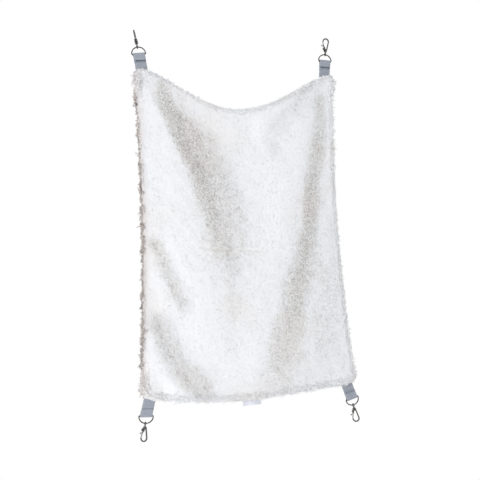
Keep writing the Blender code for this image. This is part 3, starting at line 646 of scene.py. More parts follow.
def make_floor():
    """A pale round floor well below the hammock, which shows white and keeps a shadow."""
    rings, sides = 12, 64
    radius = np.linspace(floor_radius / rings, floor_radius, rings)[:, None]
    cos, sin = circle(sides)
    points = np.stack([radius * cos, radius * sin, np.full((rings, sides), floor_level)], -1)
    points = np.concatenate([points.reshape(-1, 3), [[0, 0, floor_level]]])
    quads = np.concatenate([band_quads(rings, sides)[:, ::-1], fan_faces(0, sides, rings * sides)])
    made = Finish("pale_floor", (0.86, 0.86, 0.86), 0.85)
    grain = made.noise(40.0, 3.0, 0.5)
    made.shade(Base_Color=made.ramp(grain, (0.3, (0.85, 0.85, 0.85)), (0.7, (0.875, 0.875, 0.875))))
    glow = made.maths("MULTIPLY", white_rays(made.nodes, made.links), 0.35)
    made.shade(Emission_Color=white, Emission_Strength=glow)
    mesh_object("floor", points, quads, made.material)


make_camera()
make_world(0.545)
make_lamp("key", (-1.75, -1.4, -0.40), 1.5, 30.7, (0.98, 0.99, 1.0))
make_lamp("fill", (0.3, -1.4, 1.1), 1.4, 3.5, (0.97, 0.98, 1.0))
make_lamp("back", (0.2, 1.8, 0.6), 1.4, 14.0, white)
make_lamp("rim", (1.7, 0.55, -0.25), 1.2, 12.0, white)
make_floor()
bpy.context.scene.view_settings.view_transform = "Standard"

# ---------------------------------------------------------------- fleece mat

# The panels' faces: their height over the core, the front's clumps, swells and seam
pile_lift, curl_room, plush_lift, plush_room = 0.0010, 0.0040, 0.0008, 0.0030
rim_inset, closed_gap = 0.0022, 0.00015
clump_pitch, clump_spread, clump_rise, clump_warp = 0.0040, 0.78, 0.0011, 0.0022
broad_swell, lobe_rise = 0.0014, 0.0025
seam_line = ((-0.48, 0.504), (-0.35, 0.502), (-0.02, 0.490), (0.39, 0.514))
seam_depth, seam_width = 0.0013, 0.0032

# Zones at the corners, where something fades in: from and to across, from and to down
lobe_zone, fluffy_zone = (0.76, 0.93, 0.085, 0.03), (0.84, 0.96, 0.09, 0.03)
tip_zone = (0.88, 0.96, 0.012, 0.004)

# Where the pile lies open and its shade is painted: between which turns of its normal to the right, and
# how raggedly
shade_turn, least_shade = (-0.06, 0.28), 0.06
ragged_pitch, ragged_depth = 0.011, 0.09
top_combed, low_combed = 0.8, 0.45

# Curls and locks: the shares along them where their points lie, and their sizes
curl_share, lock_share = np.linspace(0, 1, 5), np.linspace(0, 1, 6)
curl_radius, curl_thickness, curl_lift, curl_sink = 0.00110, 0.00048, 0.0014, 0.0004
curl_scatter, curl_droop, curl_turns = 0.35, np.array([0, 0, -0.12]), (2.6, 5.2)
curl_tightening, curl_over, curl_nod = 0.55, 0.62, 0.35
lock_sink, lock_droop = 0.0006, 0.0009
sherpa_reach, plush_reach, plush_tuft, plush_below, edge_tuft = 0.0056, 0.0014, 0.0036, 0.0026, 0.0074
tuft_gain, tuft_pitch, tuft_gap = 1.9, 0.0065, 0.45
root_inset, soft_bend, rim_bend = 0.0026, 0.72, 0.42


def shrunk(across, down):
    """Shares of the surface moved in from the edge, to leave room there for the pile."""
    across = across * (1 - rim_inset / top_half)
    inset = rim_inset / mat_length
    return across, inset + (1 - 2 * inset) * down


def mat_noise(across, down, pitch, seed, shift):
    """Smooth random numbers from 0 to 1 over the mat, in patches of about this pitch."""
    return value_noise(across * mat_width / 2 + shift, down * mat_length, pitch, seed)


def near_corner(across, down, zone):
    """1 at the mat's corners, fading to 0 over a zone across and a zone down."""
    off_end = np.minimum(down, 1 - down)
    return smooth(zone[0], zone[1], np.abs(across)) * smooth(zone[2], zone[3], off_end)


def opening_and_shade(normals, across, down):
    """How far the pile lies open, down to its warmer roots, shown as painted shade: where the folds turn
    the surface to the right, away from the key lamp. Under the right half of the top edge and at the
    lower left it lies combed, and stays more closed."""
    ragged = mat_noise(across, down, ragged_pitch, seed=12, shift=4) - 0.5
    turned = normals[:, 0] + ragged_depth * ragged.ravel()
    opened = least_shade + (1 - least_shade) * smooth(*shade_turn, turned)
    top = smooth(0.10, 0.30, across) * smooth(0.88, 0.74, across) * smooth(0.20, 0.08, down)
    low = smooth(-0.30, -0.50, across) * smooth(0.66, 0.74, down)
    combed = np.maximum(top_combed * top, low_combed * low)
    return opened * (1 - combed.ravel())


def calmed(opened_and_shaded):
    """How much of their height the curls keep: they stand up where the pile lies open and its shade is
    painted.
    """
    return 0.42 + 0.58 * smooth(0.05, 0.6, opened_and_shaded)


def inset_of(across, down):
    """How far in from the mat's edge."""
    return np.minimum((1 - np.abs(across)) * top_half, np.minimum(down, 1 - down) * mat_length)


def rolled(across, down):
    """The share of its full height that a panel has on its rolled edge."""
    share = np.clip(inset_of(across, down) / edge_roll, 0, 1)
    return np.sqrt(np.maximum(1 - (1 - share) ** 2, 0))


def clumps_near(u, v, pitch, seed):
    """Distance to the nearest clump of a scatter, and that clump's own random number."""
    draws = np.random.default_rng(seed).random((512, 512, 3))
    i, j = np.floor(u / pitch).astype(int), np.floor(v / pitch).astype(int)
    best, own = np.full(np.shape(u), 9.0), np.zeros(np.shape(u))
    for di in (-1, 0, 1):
        for dj in (-1, 0, 1):
            jitter = draws[(i + di) % 512, (j + dj) % 512]
            gap = np.hypot((i + di + jitter[..., 0]) * pitch - u, (j + dj + jitter[..., 1]) * pitch - v)
            near = gap < best
            best, own = np.where(near, gap, best), np.where(near, jitter[..., 2], own)
    return best, own


def clump_centres(pitch, seed):
    """Shares across and down of every clump's centre, and its random number."""
    draws = np.random.default_rng(seed).random((512, 512, 3))
    wide, high = int(mat_width / 2 / pitch) + 2, int(mat_length / pitch) + 2
    i, j = np.meshgrid(np.arange(-wide, wide), np.arange(0, high), indexing="ij")
    jitter = draws[i % 512, j % 512]
    across = (i + jitter[..., 0]) * pitch / (mat_width / 2)
    down = (j + jitter[..., 1]) * pitch / mat_length
    kept = (np.abs(across) < 0.995) & (down > 0.003) & (down < 0.997)
    return across[kept], down[kept], jitter[..., 2][kept]


def seam_share(across, down):
    """1 on the seam that crosses the middle of the front, where the pile is pulled in."""
    distance, along = line_distance(across, down, seam_line)
    return np.exp(-((distance / seam_width) ** 2)) * smooth(0, 0.15, along) * smooth(1, 0.85, along)


def pile_depth(across, down):
    """How far the pile's base lies in front of the mat's middle surface."""
    depth = core_face + pile_lift + (front_pile - curl_room) * rolled(across, down)
    depth -= seam_depth * seam_share(across, down)
    broad = broad_swell * (mat_noise(across, down, 0.016, seed=3, shift=1) - 0.5)
    lobes = lobe_rise * near_corner(across, down, lobe_zone)
    return depth + (broad + lobes) * rolled(across, down)


def moved_back(points, distance):
    """Points moved away from the front, each by its own distance."""
    return points + np.stack([0 * distance, distance, 0 * distance], -1)


def front_face(across, down):
    """The base of the curly pile."""
    return moved_back(hung(across, down), -pile_depth(across, down))


def back_face(across, down):
    """The base of the plush pile behind."""
    depth = core_face + plush_lift + (back_pile - plush_room) * rolled(across, down)
    return moved_back(hung(across, down), depth)


def normals_of(face, across, down, towards):
    """Unit normals of a face by differences; towards is -1 for the front and 1 for the back."""
    step = 0.002
    run = face(np.clip(across + step, -1, 1), down) - face(np.clip(across - step, -1, 1), down)
    fall = face(across, np.clip(down + step, 0, 1)) - face(across, np.clip(down - step, 0, 1))
    normal = unit(np.cross(run, fall))
    flip = np.sign(normal[..., 1:2] * towards)
    return normal * np.where(flip == 0, 1, flip)


edge_places = hung(-np.ones(60), np.linspace(0, 1, 60))
edge_line = -edge_places[:, 2], -edge_places[:, 0]


def near_strap(places, beside, along):
    """1 close to a strap's base, fading out over two margins beside it and two reaches along it."""
    found = 0.0
    margins = [webbing_half + margin for margin in beside]
    for base in strap_bases.values():
        near = smooth(*margins, np.abs(places[..., 0] - base.x))
        found = np.maximum(found, near * smooth(*along, np.abs(places[..., 2] - base.z)))
    return found


def sewn_gap(across, down):
    """Half the space between the panels: closed at the seam, but for the straps and the label."""
    place = hung(across, down)
    straps = near_strap(place, (0.004, 0.0015), (0.02, 0.016))
    opened = np.maximum(smooth(0.0, 0.005, inset_of(across, down)), straps)
    off_label = np.abs(place[..., 0] - label_place)
    beside = smooth(label_width / 2 + 0.003, label_width / 2 + 0.001, off_label)
    opened = np.maximum(opened, 0.45 * beside * (down > 0.9))
    return closed_gap + (core_face - closed_gap) * opened


def pile_normals(across, down):
    """The way that soft pile faces, which turns less at the rim than the surface under it."""
    flat, own = normals_of(hung, across, down, -1), normals_of(front_face, across, down, -1)
    return unit(0.8 * flat + 0.2 * own).reshape(-1, 3)


def edge_tint(places):
    """How much the brown plush behind tints the pile: most at the left edge, none further in."""
    left = -np.interp(-places[..., 2], *edge_line)
    return smooth(0.014, -0.002, places[..., 0] - left)


def face_grid(columns, rows):
    """Shares across and down of a grid's points, closer together near the mat's sides."""
    bunching = math.pi / 2 * 0.55
    across = np.sin(np.linspace(-1, 1, columns) * bunching) / math.sin(bunching)
    return np.meshgrid(across, np.linspace(0, 1, rows))


def make_front():
    """The front panel's face, swelling under every clump of curls."""
    across, down = shrunk(*face_grid(241, 341))
    warp = [clump_warp * (mat_noise(across, down, 0.006, seed, shift=2) - 0.5) for seed in (5, 6)]
    u, v = across * mat_width / 2 + warp[0], down * mat_length + warp[1]
    gap, own = clumps_near(u, v, clump_pitch, 11)
    dome = np.sqrt(np.maximum(1 - (gap / (clump_spread * clump_pitch)) ** 2, 0))
    soft = pile_normals(across, down)
    # Where the shade is painted on the pile, and where its curls stand up
    opened_and_shaded = opening_and_shade(soft, across, down)
    calm = calmed(opened_and_shaded).reshape(dome.shape)
    rise = clump_rise * (0.55 + 0.75 * own) * dome * calm
    front = front_face(across, down) + normals_of(front_face, across, down, -1) * rise[..., None]
    inner = moved_back(hung(across, down), -sewn_gap(across, down))
    points, quads = closed_sheet(front, inner)
    # Painted shade: darker between the clumps, where the curls stand up and along the seam; paler on the
    # clumps
    tone_and_shade = (0.2 + 0.4 * dome + 0.4 * (1 - calm)) * (1 - 0.5 * seam_share(across, down))
    tone_and_shade = np.concatenate([tone_and_shade.ravel(), np.zeros(dome.size)])
    values = {"tone_and_shade": tone_and_shade, "tint": edge_tint(points), "opened_and_shaded": np.tile(opened_and_shaded, 2)}
    bend = np.concatenate([soft, -soft])
    return mesh_object("sherpa_face", points, quads, sherpa, values, bend, soft_bend)


def pile_meshes(name, parts, paths, radii, finish, bright, bend, bend_share, opened_and_shaded=None):
    """The fibres of a pile, dealt out to a few meshes."""
    made = []
    for k in range(parts):
        dealt = slice(k, None, parts)
        points, quads = tubes(paths[dealt], radii[dealt], 3)
        per_fibre = 3 * paths.shape[1]
        values = {"tone_and_shade": np.repeat(np.clip(bright, 0, 1)[dealt].ravel(), 3)}
        if opened_and_shaded is not None:
            values["tint"], values["opened_and_shaded"] = edge_tint(points), np.repeat(opened_and_shaded[dealt], per_fibre)
        bent = np.repeat(bend[dealt], per_fibre, axis=0)
        made.append(mesh_object(f"{name}_{k}", points, quads, finish, values, bent, bend_share))
    return made


def curl_paths(places, normals, rng, radius, lift, turns):
    """Little spirals that rise from the surface and curl over, one at each place."""
    count = len(places)
    first = unit(np.cross(normals, unit(rng.normal(size=(count, 3)))))
    second = np.cross(normals, first)
    turn = turns[:, None] * curl_share + rng.random((count, 1)) * 2 * np.pi
    reach = radius[:, None] * (1 - curl_tightening * curl_share)
    height = -curl_sink + (lift[:, None] + curl_sink) * np.sin(np.pi * (curl_over * curl_share))
    height = height - curl_nod * lift[:, None] * curl_share**3
    return (
        places[:, None]
        + first[:, None] * (reach * np.cos(turn))[..., None]
        + second[:, None] * (reach * np.sin(turn))[..., None]
        + normals[:, None] * height[..., None]
    )


def make_curls(seed, pitch, size, parts):
    """The curls of the pile, in a few meshes."""
    across, down, own = clump_centres(pitch, seed)
    across, down = shrunk(across, down)
    rng = np.random.default_rng(seed + 100)
    places, normals = front_face(across, down), normals_of(front_face, across, down, -1)
    lean = unit(normals + curl_scatter * rng.normal(size=normals.shape) + curl_droop)
    count = len(across)
    edge = (0.55 + 0.45 * rolled(across, down)) * (1 - 0.25 * seam_share(across, down))
    radius = curl_radius * size * (0.7 + 0.5 * own) * edge
    soft = pile_normals(across, down)
    # Where the shade is painted on the pile, and where its curls stand up
    opened_and_shaded = opening_and_shade(soft, across, down)
    lift = curl_lift * size * (0.6 + 0.9 * own) * edge * calmed(opened_and_shaded)
    turns = rng.choice([-1, 1], count) * rng.uniform(*curl_turns, count)
    paths = curl_paths(places, lean, rng, radius, lift, turns)
    taper = np.sin(np.pi * (0.2 + 0.68 * curl_share)) * (1 - 0.2 * curl_share)
    radii = curl_thickness * size * (0.75 + 0.5 * rng.random((count, 1))) * taper
    # Painted shade: darker towards the roots of the curls, paler at their tips, with some tone at random
    bright = 0.6 + 0.16 * rng.normal(size=(count, 1)) + 0.25 * curl_share - 0.12
    name = f"sherpa_curls_{seed}"
    return pile_meshes(name, parts, paths, radii, sherpa, bright, soft, soft_bend, opened_and_shaded)


def rim_shares(spacing):
    """Shares across and down of places spaced along the whole outline."""
    side = np.linspace(0, 1, int(mat_length / spacing))
    end = np.linspace(-1, 1, int(mat_width / spacing))
    across = np.concatenate([-np.ones_like(side), np.ones_like(side), end, end])
    down = np.concatenate([side, side, np.zeros_like(end), np.ones_like(end)])
    return across, down


def outward_of(across, down):
    """The direction away from the mat in its own plane, at its rim."""
    across = np.where(np.abs(across) > 0.97, np.sign(across), across)
    here = hung(across, down)
    inner = hung(across * (1 - 0.03 * smooth(0.92, 1.0, np.abs(across))), np.clip(down, 0.02, 0.98))
    return unit(here - inner)


def curled_locks(rng, places, lean, reach, turns, thickness):
    """Blunt locks of a reach each, which grow along their lean and curl over to one side."""
    count = len(places)
    side = unit(np.cross(lean, rng.normal(size=lean.shape)))
    turn = rng.uniform(*turns, (count, 1)) * lock_share
    steady = np.maximum(turn, 0.01)
    run, drift = np.sin(turn) / steady * lock_share, (1 - np.cos(turn)) / steady * lock_share
    curve = lean[:, None] * run[..., None] + side[:, None] * drift[..., None]
    blunt = np.sqrt(np.maximum(1 - (0.12 + 0.80 * lock_share) ** 3, 0.02))
    radii = thickness * (0.7 + 0.6 * rng.random((count, 1))) * blunt
    return tubes(places[:, None] + curve * reach[:, None, None], radii, 3)


def lock_mesh(name, points, quads, finish, bright, painted_glow_share, soft):
    """A mesh of locks that are lit as they face outwards, with painted shade at their roots and a
    painted glow where they stand loose, fading out where the brown plush tints them.
    """
    bright, bend = np.clip(bright, 0, 1), np.repeat(unit(soft), 3 * len(lock_share), axis=0)
    tint = edge_tint(points)
    values = {"tone_and_shade": np.repeat(bright.ravel(), 3), "tint": tint, "painted_glow_share": painted_glow_share * (1 - tint)}
    return mesh_object(name, points, quads, finish, values, bend, rim_bend)


def make_rim(name, finish, lengths, seed, spacing, depths, wild, thickness, locks, chunk=0):
    """Tufts of curling locks that stand out of the seam, between two depths. The locks of a tuft
    are spread over those depths, or keep together in a chunk of that radius."""
    across, down = rim_shares(spacing)
    rng = np.random.default_rng(seed)
    across = np.clip(across + 0.005 * rng.normal(size=across.size), -1, 1)
    down = np.clip(down + 0.003 * rng.normal(size=down.size), 0, 1)
    length = lengths(across, down)
    across, down, length = across[length > 0], down[length > 0], length[length > 0]
    tufts = across.size
    places, out = hung(across, down), outward_of(across, down)
    held = 1 - 0.4 * near_strap(places, (0.002, -0.001), (0.03, 0.02)) * (np.abs(across) < 0.985)
    reach = length * (0.70 + 0.6 * rng.random(tufts) ** 1.6) * held
    lean = unit(out + wild * rng.normal(size=out.shape))
    own = rng.random(tufts)
    low, high = depths
    level = low + (high - low) * rng.random((tufts, 1))
    rows = places, lean, reach, own, out, level, pile_normals(across, down)
    places, lean, reach, own, out, level, soft = (np.repeat(v, locks, axis=0) for v in rows)
    count = len(places)
    depth = level if chunk else low + (high - low) * rng.random((count, 1))
    backward, depth_share = np.array([0, 1.0, 0]), depth / max(abs(low), abs(high))
    places = places - out * root_inset + backward * depth
    places = places + (chunk or 0.0006) * rng.normal(size=places.shape)
    loose = 0.20 if chunk else 0.34
    lean = unit(lean + loose * rng.normal(size=lean.shape) + backward * depth_share * 0.4)
    reach = reach * rng.uniform(0.65, 1.1, count)
    points, quads = curled_locks(rng, places, lean, reach, (1.2, 2.8), thickness)
    # Painted shade: darker towards the roots of the locks, with some tone at random
    bright = 0.25 + 0.5 * own[:, None] + 0.12 * rng.normal(size=(count, 1)) + 0.2 * lock_share
    soft = out + 0.5 * soft if finish == sherpa else out - soft * depth_share
    # Painted glow all along the locks, used by the white pile's finish
    return lock_mesh(name, points, quads, finish, bright, 1, soft)


def make_mane(name, seed, spacing, locks):
    """White locks that fan out over the rolled edge of the front panel."""
    rng = np.random.default_rng(seed)
    across, down = (np.repeat(v, locks) for v in rim_shares(spacing))
    count = across.size
    across = np.clip(across + 0.006 * rng.normal(size=count), -1, 1)
    down = np.clip(down + 0.004 * rng.normal(size=count), 0, 1)
    out = outward_of(across, down)
    length = sherpa_length(across, down) * rng.uniform(0.6, 1.15, count)
    round_edge = rng.uniform(0.0, 1.35, (count, 1))
    cos, sin = np.cos(round_edge), np.sin(round_edge)
    inset = edge_roll * (1 - cos[:, 0])
    across, down = across * (1 - inset / top_half), 0.5 + (down - 0.5) * (1 - 2 * inset / mat_length)
    across, down = shrunk(across, down)
    soft = pile_normals(across, down)
    lean = unit(out * (cos + 0.3) + soft * (0.8 * sin + 0.1))
    lean = unit(lean + 0.30 * rng.normal(size=lean.shape))
    places = front_face(across, down) - lean * 0.0008
    reach = length * (1 - 0.4 * sin[:, 0])
    points, quads = curled_locks(rng, places, lean, reach, (1.4, 3.0), 0.0008)
    # Painted shade: darker towards the roots of the locks, with some tone at random
    bright = 0.55 + 0.12 * rng.normal(size=(count, 1)) + 0.3 * lock_share
    # Painted glow: strongest on the locks that stand straight out, and towards their tips
    painted_glow_share = np.repeat(cos * (0.4 + 0.6 * lock_share), 3)
    soft = out * cos + soft * (0.15 + 1.2 * sin)
    return lock_mesh(name, points, quads, sherpa, bright, painted_glow_share, soft)


def sherpa_length(across, down):
    """How far the white pile stands out: least at the left, most at the bottom and the corners."""
    corner, tip = near_corner(across, down, fluffy_zone), near_corner(across, down, tip_zone)
    left = -0.55 * (across < -0.97) * (1 - corner)
    upper_left = 0.55 * corner * (across < 0) * (down < 0.5)
    upper_right = 0.45 * (across > 0.97) * smooth(0.5, 0.1, down)
    share = 1 + left + upper_left + upper_right + 0.4 * (down > 0.98) + 0.45 * corner
    return sherpa_reach * share * (1 - 0.6 * tip)


def tufted(across, down, seed):
    """How long the plush stands along an edge: in tufts, with gaps between some of them."""
    noise = value_noise(across, down * mat_length, tuft_pitch, seed)
    return np.maximum(tuft_gain * noise - tuft_gap, 0)


def plush_length(across, down):
    """How far the plush stands out: hardly, but along the left edge and the bottom's left."""
    left = (0.2 + tufted(across, down, 14)) * (across < -0.97)
    left = left * (1 - 0.2 * near_corner(across, down, fluffy_zone))
    return plush_reach + plush_tuft * left + plush_below * (down > 0.97) * (across < 0.1)


def edge_length(across, down):
    """How far the plush stands out that wraps the left edge towards the front."""
    kept = 1 - 0.75 * near_corner(across, down, fluffy_zone)
    return edge_tuft * tufted(across, down, 13) * (across < -0.97) * kept


def make_back():
    """The back panel's face, a little uneven."""
    across, down = shrunk(*face_grid(121, 171))
    rise = 0.0006 * mat_noise(across, down, 0.0035, seed=8, shift=3)
    rise = rise + 0.0005 * mat_noise(across, down, 0.012, seed=9, shift=3)
    back = back_face(across, down) + normals_of(back_face, across, down, 1) * rise[..., None]
    inner = moved_back(hung(across, down), sewn_gap(across, down))
    points, quads = closed_sheet(inner, back)
    # Painted shade: the plush face under the locks is darker than their tips
    tone_and_shade = np.concatenate([np.zeros(rise.size), np.full(rise.size, 0.35)])
    return mesh_object("plush_face", points, quads, plush, {"tone_and_shade": tone_and_shade})


def make_plush_locks(parts):
    """Short soft locks of the plush, lying down the mat and brushed to either side; they are paler in
    some brushed patches and darker in others, a painted sheen.
    """
    across, down, own = clump_centres(0.0029, 31)
    across, down = shrunk(across, down)
    rng = np.random.default_rng(33)
    places, normals = back_face(across, down), normals_of(back_face, across, down, 1)
    count = len(across)
    brushed_and_sheen = mat_noise(across, down, 0.034, seed=34, shift=4) - 0.5
    lay = np.stack([1.5 * brushed_and_sheen, 0 * brushed_and_sheen, -0.8 + 0 * brushed_and_sheen], -1)
    lean = unit(normals * 0.55 + lay + 0.24 * rng.normal(size=normals.shape))
    reach = (0.0036 + 0.0024 * own) * (0.6 + 0.4 * rolled(across, down))
    share = np.linspace(0, 1, 4)
    paths = places[:, None] - normals[:, None] * lock_sink
    paths = paths + lean[:, None] * (reach[:, None] * share)[..., None]
    paths = paths + normals[:, None] * (-lock_droop * share**2)[:, None]
    radii = 0.0010 * (0.75 + 0.5 * rng.random((count, 1))) * (1 - 0.82 * share**1.4)
    # Painted shade and sheen: darker towards the roots, paler in some brushed patches and darker in
    # others
    bright = 0.42 + 0.13 * rng.normal(size=(count, 1)) + 0.38 * share + 0.5 * brushed_and_sheen[:, None]
    return pile_meshes("plush_locks", parts, paths, radii, plush, bright, normals, 0.5)


def make_label():
    """The blank care label, sewn into the bottom seam, with a soft curl."""
    wide, high = 25, 17
    share, run = np.meshgrid(np.linspace(-0.5, 0.5, wide), np.linspace(0, 1, high))
    across = (label_place + label_width * share) / bottom_half
    length = label_sewn + label_hang
    sewn = np.clip(run * length / label_sewn, 0, 1)
    place = hung(across, 1 - (1 - sewn) * label_sewn / mat_length)
    loose = np.clip((run * length - label_sewn) / label_hang, 0, 1)
    place[..., 2] -= label_hang * loose
    place[..., 1] -= label_curl * loose**1.6 + 0.0011 * loose * np.sin(7.5 * share + 0.6)
    thick = np.array([0, 0.0002, 0])
    points, quads = closed_sheet(place - thick, place + thick)
    return mesh_object("label_sheet", points, quads, woven)


def make_mat():
    """The two panels with their pile, and the label."""
    face = make_front()
    curls = make_curls(seed=11, pitch=0.0026, size=1.0, parts=3)
    curls += make_curls(seed=12, pitch=0.0034, size=0.85, parts=2)
    tufts = {"seed": 21, "spacing": 0.0018, "depths": (-0.0060, -0.0010), "locks": 6}
    rim = [make_rim("sherpa_rim", sherpa, sherpa_length, wild=0.24, thickness=0.00085, **tufts)]
    rim += [make_mane(f"sherpa_mane_{n}", seed=24 + n, spacing=0.0016, locks=8) for n in (0, 1)]
    back = make_back()
    locks = make_plush_locks(parts=2)
    tufts = {"seed": 22, "spacing": 0.0016, "depths": (0.0008, 0.0056), "locks": 5}
    fringe = [make_rim("plush_fringe", plush, plush_length, wild=0.32, thickness=0.00090, **tufts)]
    tufts = {"seed": 23, "spacing": 0.0014, "depths": (-0.0034, 0.0045), "locks": 14, "chunk": 0.0010}
    fringe += [make_rim("plush_edge", plush, edge_length, wild=0.30, thickness=0.00075, **tufts)]
    label = make_label()
    fleece, plush_pieces = [face] + rim + curls, [back] + fringe + locks
    for piece, slot in [(p, "fleece") for p in fleece] + [(p, "plush") for p in plush_pieces]:
        piece.data.transform(to_origin)
        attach(piece, "mat")
    label.data.transform(to_origin)
    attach(label, "mat")
    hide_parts("fleece_front_panel", "wadding_layer")
    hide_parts("plush_back_panel")
    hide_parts("care_label")


# ---------------------------------------------------------------- straps and their stitching

# By end of the mat: the heights of the rows of stitches and the radius of their thread
stitch_rows = {1: ((0.0005, -0.0005), 0.00042), -1: ((0.0,), 0.00034)}
stitch_count, row_rise, row_width = 8, 0.0016, 0.0182
stitch_half, stitch_slant, stitch_proud, stitch_dip = 0.00114, 0.00018, 0.00026, 0.00045


def strap_line(name):
    """The strap's middle line in the ring's frame, as (y, z) points close together, and how far
    along it they lie: from the sewn-in end round the ring's bar to the end of the fold."""
    base = strap_levels(name)[1]
    bend, lay = ring_wire + bar_fit + strap_half, layer_spacing / 2
    line = [(0, base - strap_tail), (0, -fold_length - 0.0035), (lay, -fold_length + 0.0005)]
    line.append((lay, -fold_spread))
    line += [(bend * math.cos(a), bend * math.sin(a)) for a in np.linspace(0, math.pi, 13)]
    line += [(-lay, -fold_spread), (-lay, -fold_length)]
    line = np.array(line)
    along = np.concatenate([[0], np.cumsum(np.linalg.norm(np.diff(line, axis=0), axis=1))])
    at = np.arange(0, along[-1], strap_step)
    fine = np.stack([np.interp(at, along, line[:, k]) for k in (0, 1)], 1)
    for _ in range(6):
        fine[1:-1] = (fine[:-2] + 2 * fine[1:-1] + fine[2:]) / 4
    return fine, at


def make_strap(name):
    """The webbing of a corner, which runs from inside the seam round the ring's bar and carries its
    weave in a UV map.
    """
    ring = corner_frames(name)[0]
    fold_side = corners[name][6]
    pivot, _, skew = strap_levels(name)
    line, along = strap_line(name)
    run = unit(np.gradient(line, axis=0))
    normal = np.stack([-run[:, 1], run[:, 0]], 1)
    columns = 33
    share = np.linspace(-1, 1, columns)
    thick = strap_half * (1 - selvedge_thinning * np.abs(share) ** 10)
    phase = np.pi * (np.arange(columns) % 2)
    rib = rib_height * np.sin(2 * np.pi * along[:, None] / rib_pitch + phase)
    slip = edge_waver * np.sin(along * 900)[:, None]
    x = share * (webbing_half + slip) + skew * np.minimum(line[:, None, 1], 0)
    faces = []
    for side in (1, -1):
        offset = side * (thick + rib)[..., None] * normal[:, None]
        y, z = line[:, None, 0] + offset[..., 0], line[:, None, 1] + offset[..., 1]
        faces.append(np.stack([x, -fold_side * y, z], -1))
    points, quads = closed_sheet(*faces)
    strap = mesh_object(f"webbing_{name}", points, quads, webbing)
    weave = strap.data.uv_layers.new(name="weave")
    flat = np.stack(np.broadcast_arrays(share * webbing_half, along[:, None]), -1)
    flat = np.concatenate([flat.reshape(-1, 2)] * 2)
    corner_points = np.empty(len(strap.data.loops), np.int32)
    strap.data.loops.foreach_get("vertex_index", corner_points)
    weave.data.foreach_set("uv", flat[corner_points].astype(np.float32).ravel())
    place = to_origin @ ring
    strap.data.transform(place)
    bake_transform(strap)
    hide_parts(f"webbing_strap_{name}", f"strap_tail_{name}")


def make_stitches(name):
    """A row of lockstitches through the folded end, or two close rows on an upper strap, showing
    on both faces of the strap."""
    ring = corner_frames(name)[0]
    skew = strap_levels(name)[2]
    fold_side = corners[name][6]
    face = layer_spacing / 2 + strap_half
    rows, thickness = stitch_rows[corners[name][1]]
    share = np.linspace(-1, 1, 7)
    paths = []
    for side in (1, -1):
        for row in rows:
            row = row_rise - fold_length + row
            for n in range(stitch_count):
                middle = (n + 0.5) / stitch_count * row_width - row_width / 2
                x = skew * row + middle + share * stitch_half
                y = side * (face + stitch_proud - stitch_dip * share**4) + 0 * x
                z = row + stitch_slant * share + 0 * x
                paths.append(np.stack([x, fold_side * y, z], 1))
    radii = np.full((len(paths), 7), thickness) * (1 - 0.3 * share**4)
    points, quads = tubes(np.array(paths), radii, 4)
    row = mesh_object(f"stitches_{name}", points, quads, thread)
    row.data.transform(to_origin @ ring)
    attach(row, f"strap_{name}")
    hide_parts(f"cross_stitch_{name}")


# ---------------------------------------------------------------- hardware

slot_floor = -0.0046, -0.0012, 0.0028, 0.0053  # left, right, foot and top, between the cheeks
on_axis = 0.00001  # the radius at which a turned profile starts and ends
to_depth = Matrix.Rotation(math.pi / 2, 4, "X")  # from up to through the hook


def wire(path, half_in, half_across, sides, closed=False):
    """A bar along a path in the XZ plane; the half sizes may change along it."""
    path = np.array(path, float)
    count = len(path)
    half_in, half_across = (np.broadcast_to(half, count) for half in (half_in, half_across))
    run = np.roll(path, -1, 0) - np.roll(path, 1, 0) if closed else np.gradient(path, axis=0)
    run = unit(run)
    inward = np.stack([run[:, 1], -run[:, 0]], 1)
    cos, sin = circle(sides)
    flat = path[:, None] + inward[:, None] * (half_in[:, None] * cos)[..., None]
    points = np.stack([flat[..., 0], half_across[:, None] * sin, flat[..., 1]], -1).reshape(-1, 3)
    quads = band_quads(count, sides, closed)
    if closed:
        return points, quads
    ends = [[path[n, 0], 0, path[n, 1]] for n in (0, -1)]
    last = (count - 1) * sides
    caps = fan_faces(0, sides, len(points), True), fan_faces(last, sides, len(points) + 1)
    return np.concatenate([points, ends]), np.concatenate([quads, *caps])


def lathe(profile, sides):
    """A solid of revolution about Z; the profile is a loop, or runs from the axis to the axis."""
    profile = np.array(profile, float)
    cos, sin = circle(sides)
    radius, height = profile[:, :1], profile[:, 1:]
    points = np.stack([radius * cos, radius * sin, height + 0 * cos], -1).reshape(-1, 3)
    return points, band_quads(len(profile), sides, True)


def plate(outline, low, high, edge):
    """A plate in the XZ plane between two depths, with bevelled edges."""
    outline = np.array(outline, float)
    count, centre = len(outline), outline.mean(0)
    tangent = unit(np.roll(outline, -1, 0) - np.roll(outline, 1, 0))
    inward = np.stack([-tangent[:, 1], tangent[:, 0]], 1)
    inward *= np.sign(((centre - outline) * inward).sum(1, keepdims=True))
    bevel = (0, 1), (0.3, 0.3), (1, 0)
    levels = [(low + edge * rise, edge * inset) for rise, inset in bevel]
    levels += [(high - edge * rise, edge * inset) for rise, inset in bevel[::-1]]
    rows = []
    for y, inset in levels:
        flat = outline + inward * inset
        rows.append(np.stack([flat[:, 0], np.full(count, y), flat[:, 1]], 1))
    points = np.concatenate(rows + [[[centre[0], y, centre[1]] for y in (low, high)]])
    last, middle = (len(rows) - 1) * count, len(rows) * count
    caps = fan_faces(0, count, middle, True), fan_faces(last, count, middle + 1)
    return points, np.concatenate([band_quads(len(rows), count), *caps])


def joined(*meshes):
    """One set of points and faces from several."""
    starts = np.cumsum([0] + [len(points) for points, _ in meshes])
    quads = [np.where(faces >= 0, faces + start, -1) for (_, faces), start in zip(meshes, starts)]
    return np.concatenate([points for points, _ in meshes]), np.concatenate(quads)


def turned_mesh(mesh, matrix):
    points, quads = mesh
    turn = np.array(matrix)
    return points @ turn[:3, :3].T + turn[:3, 3], quads


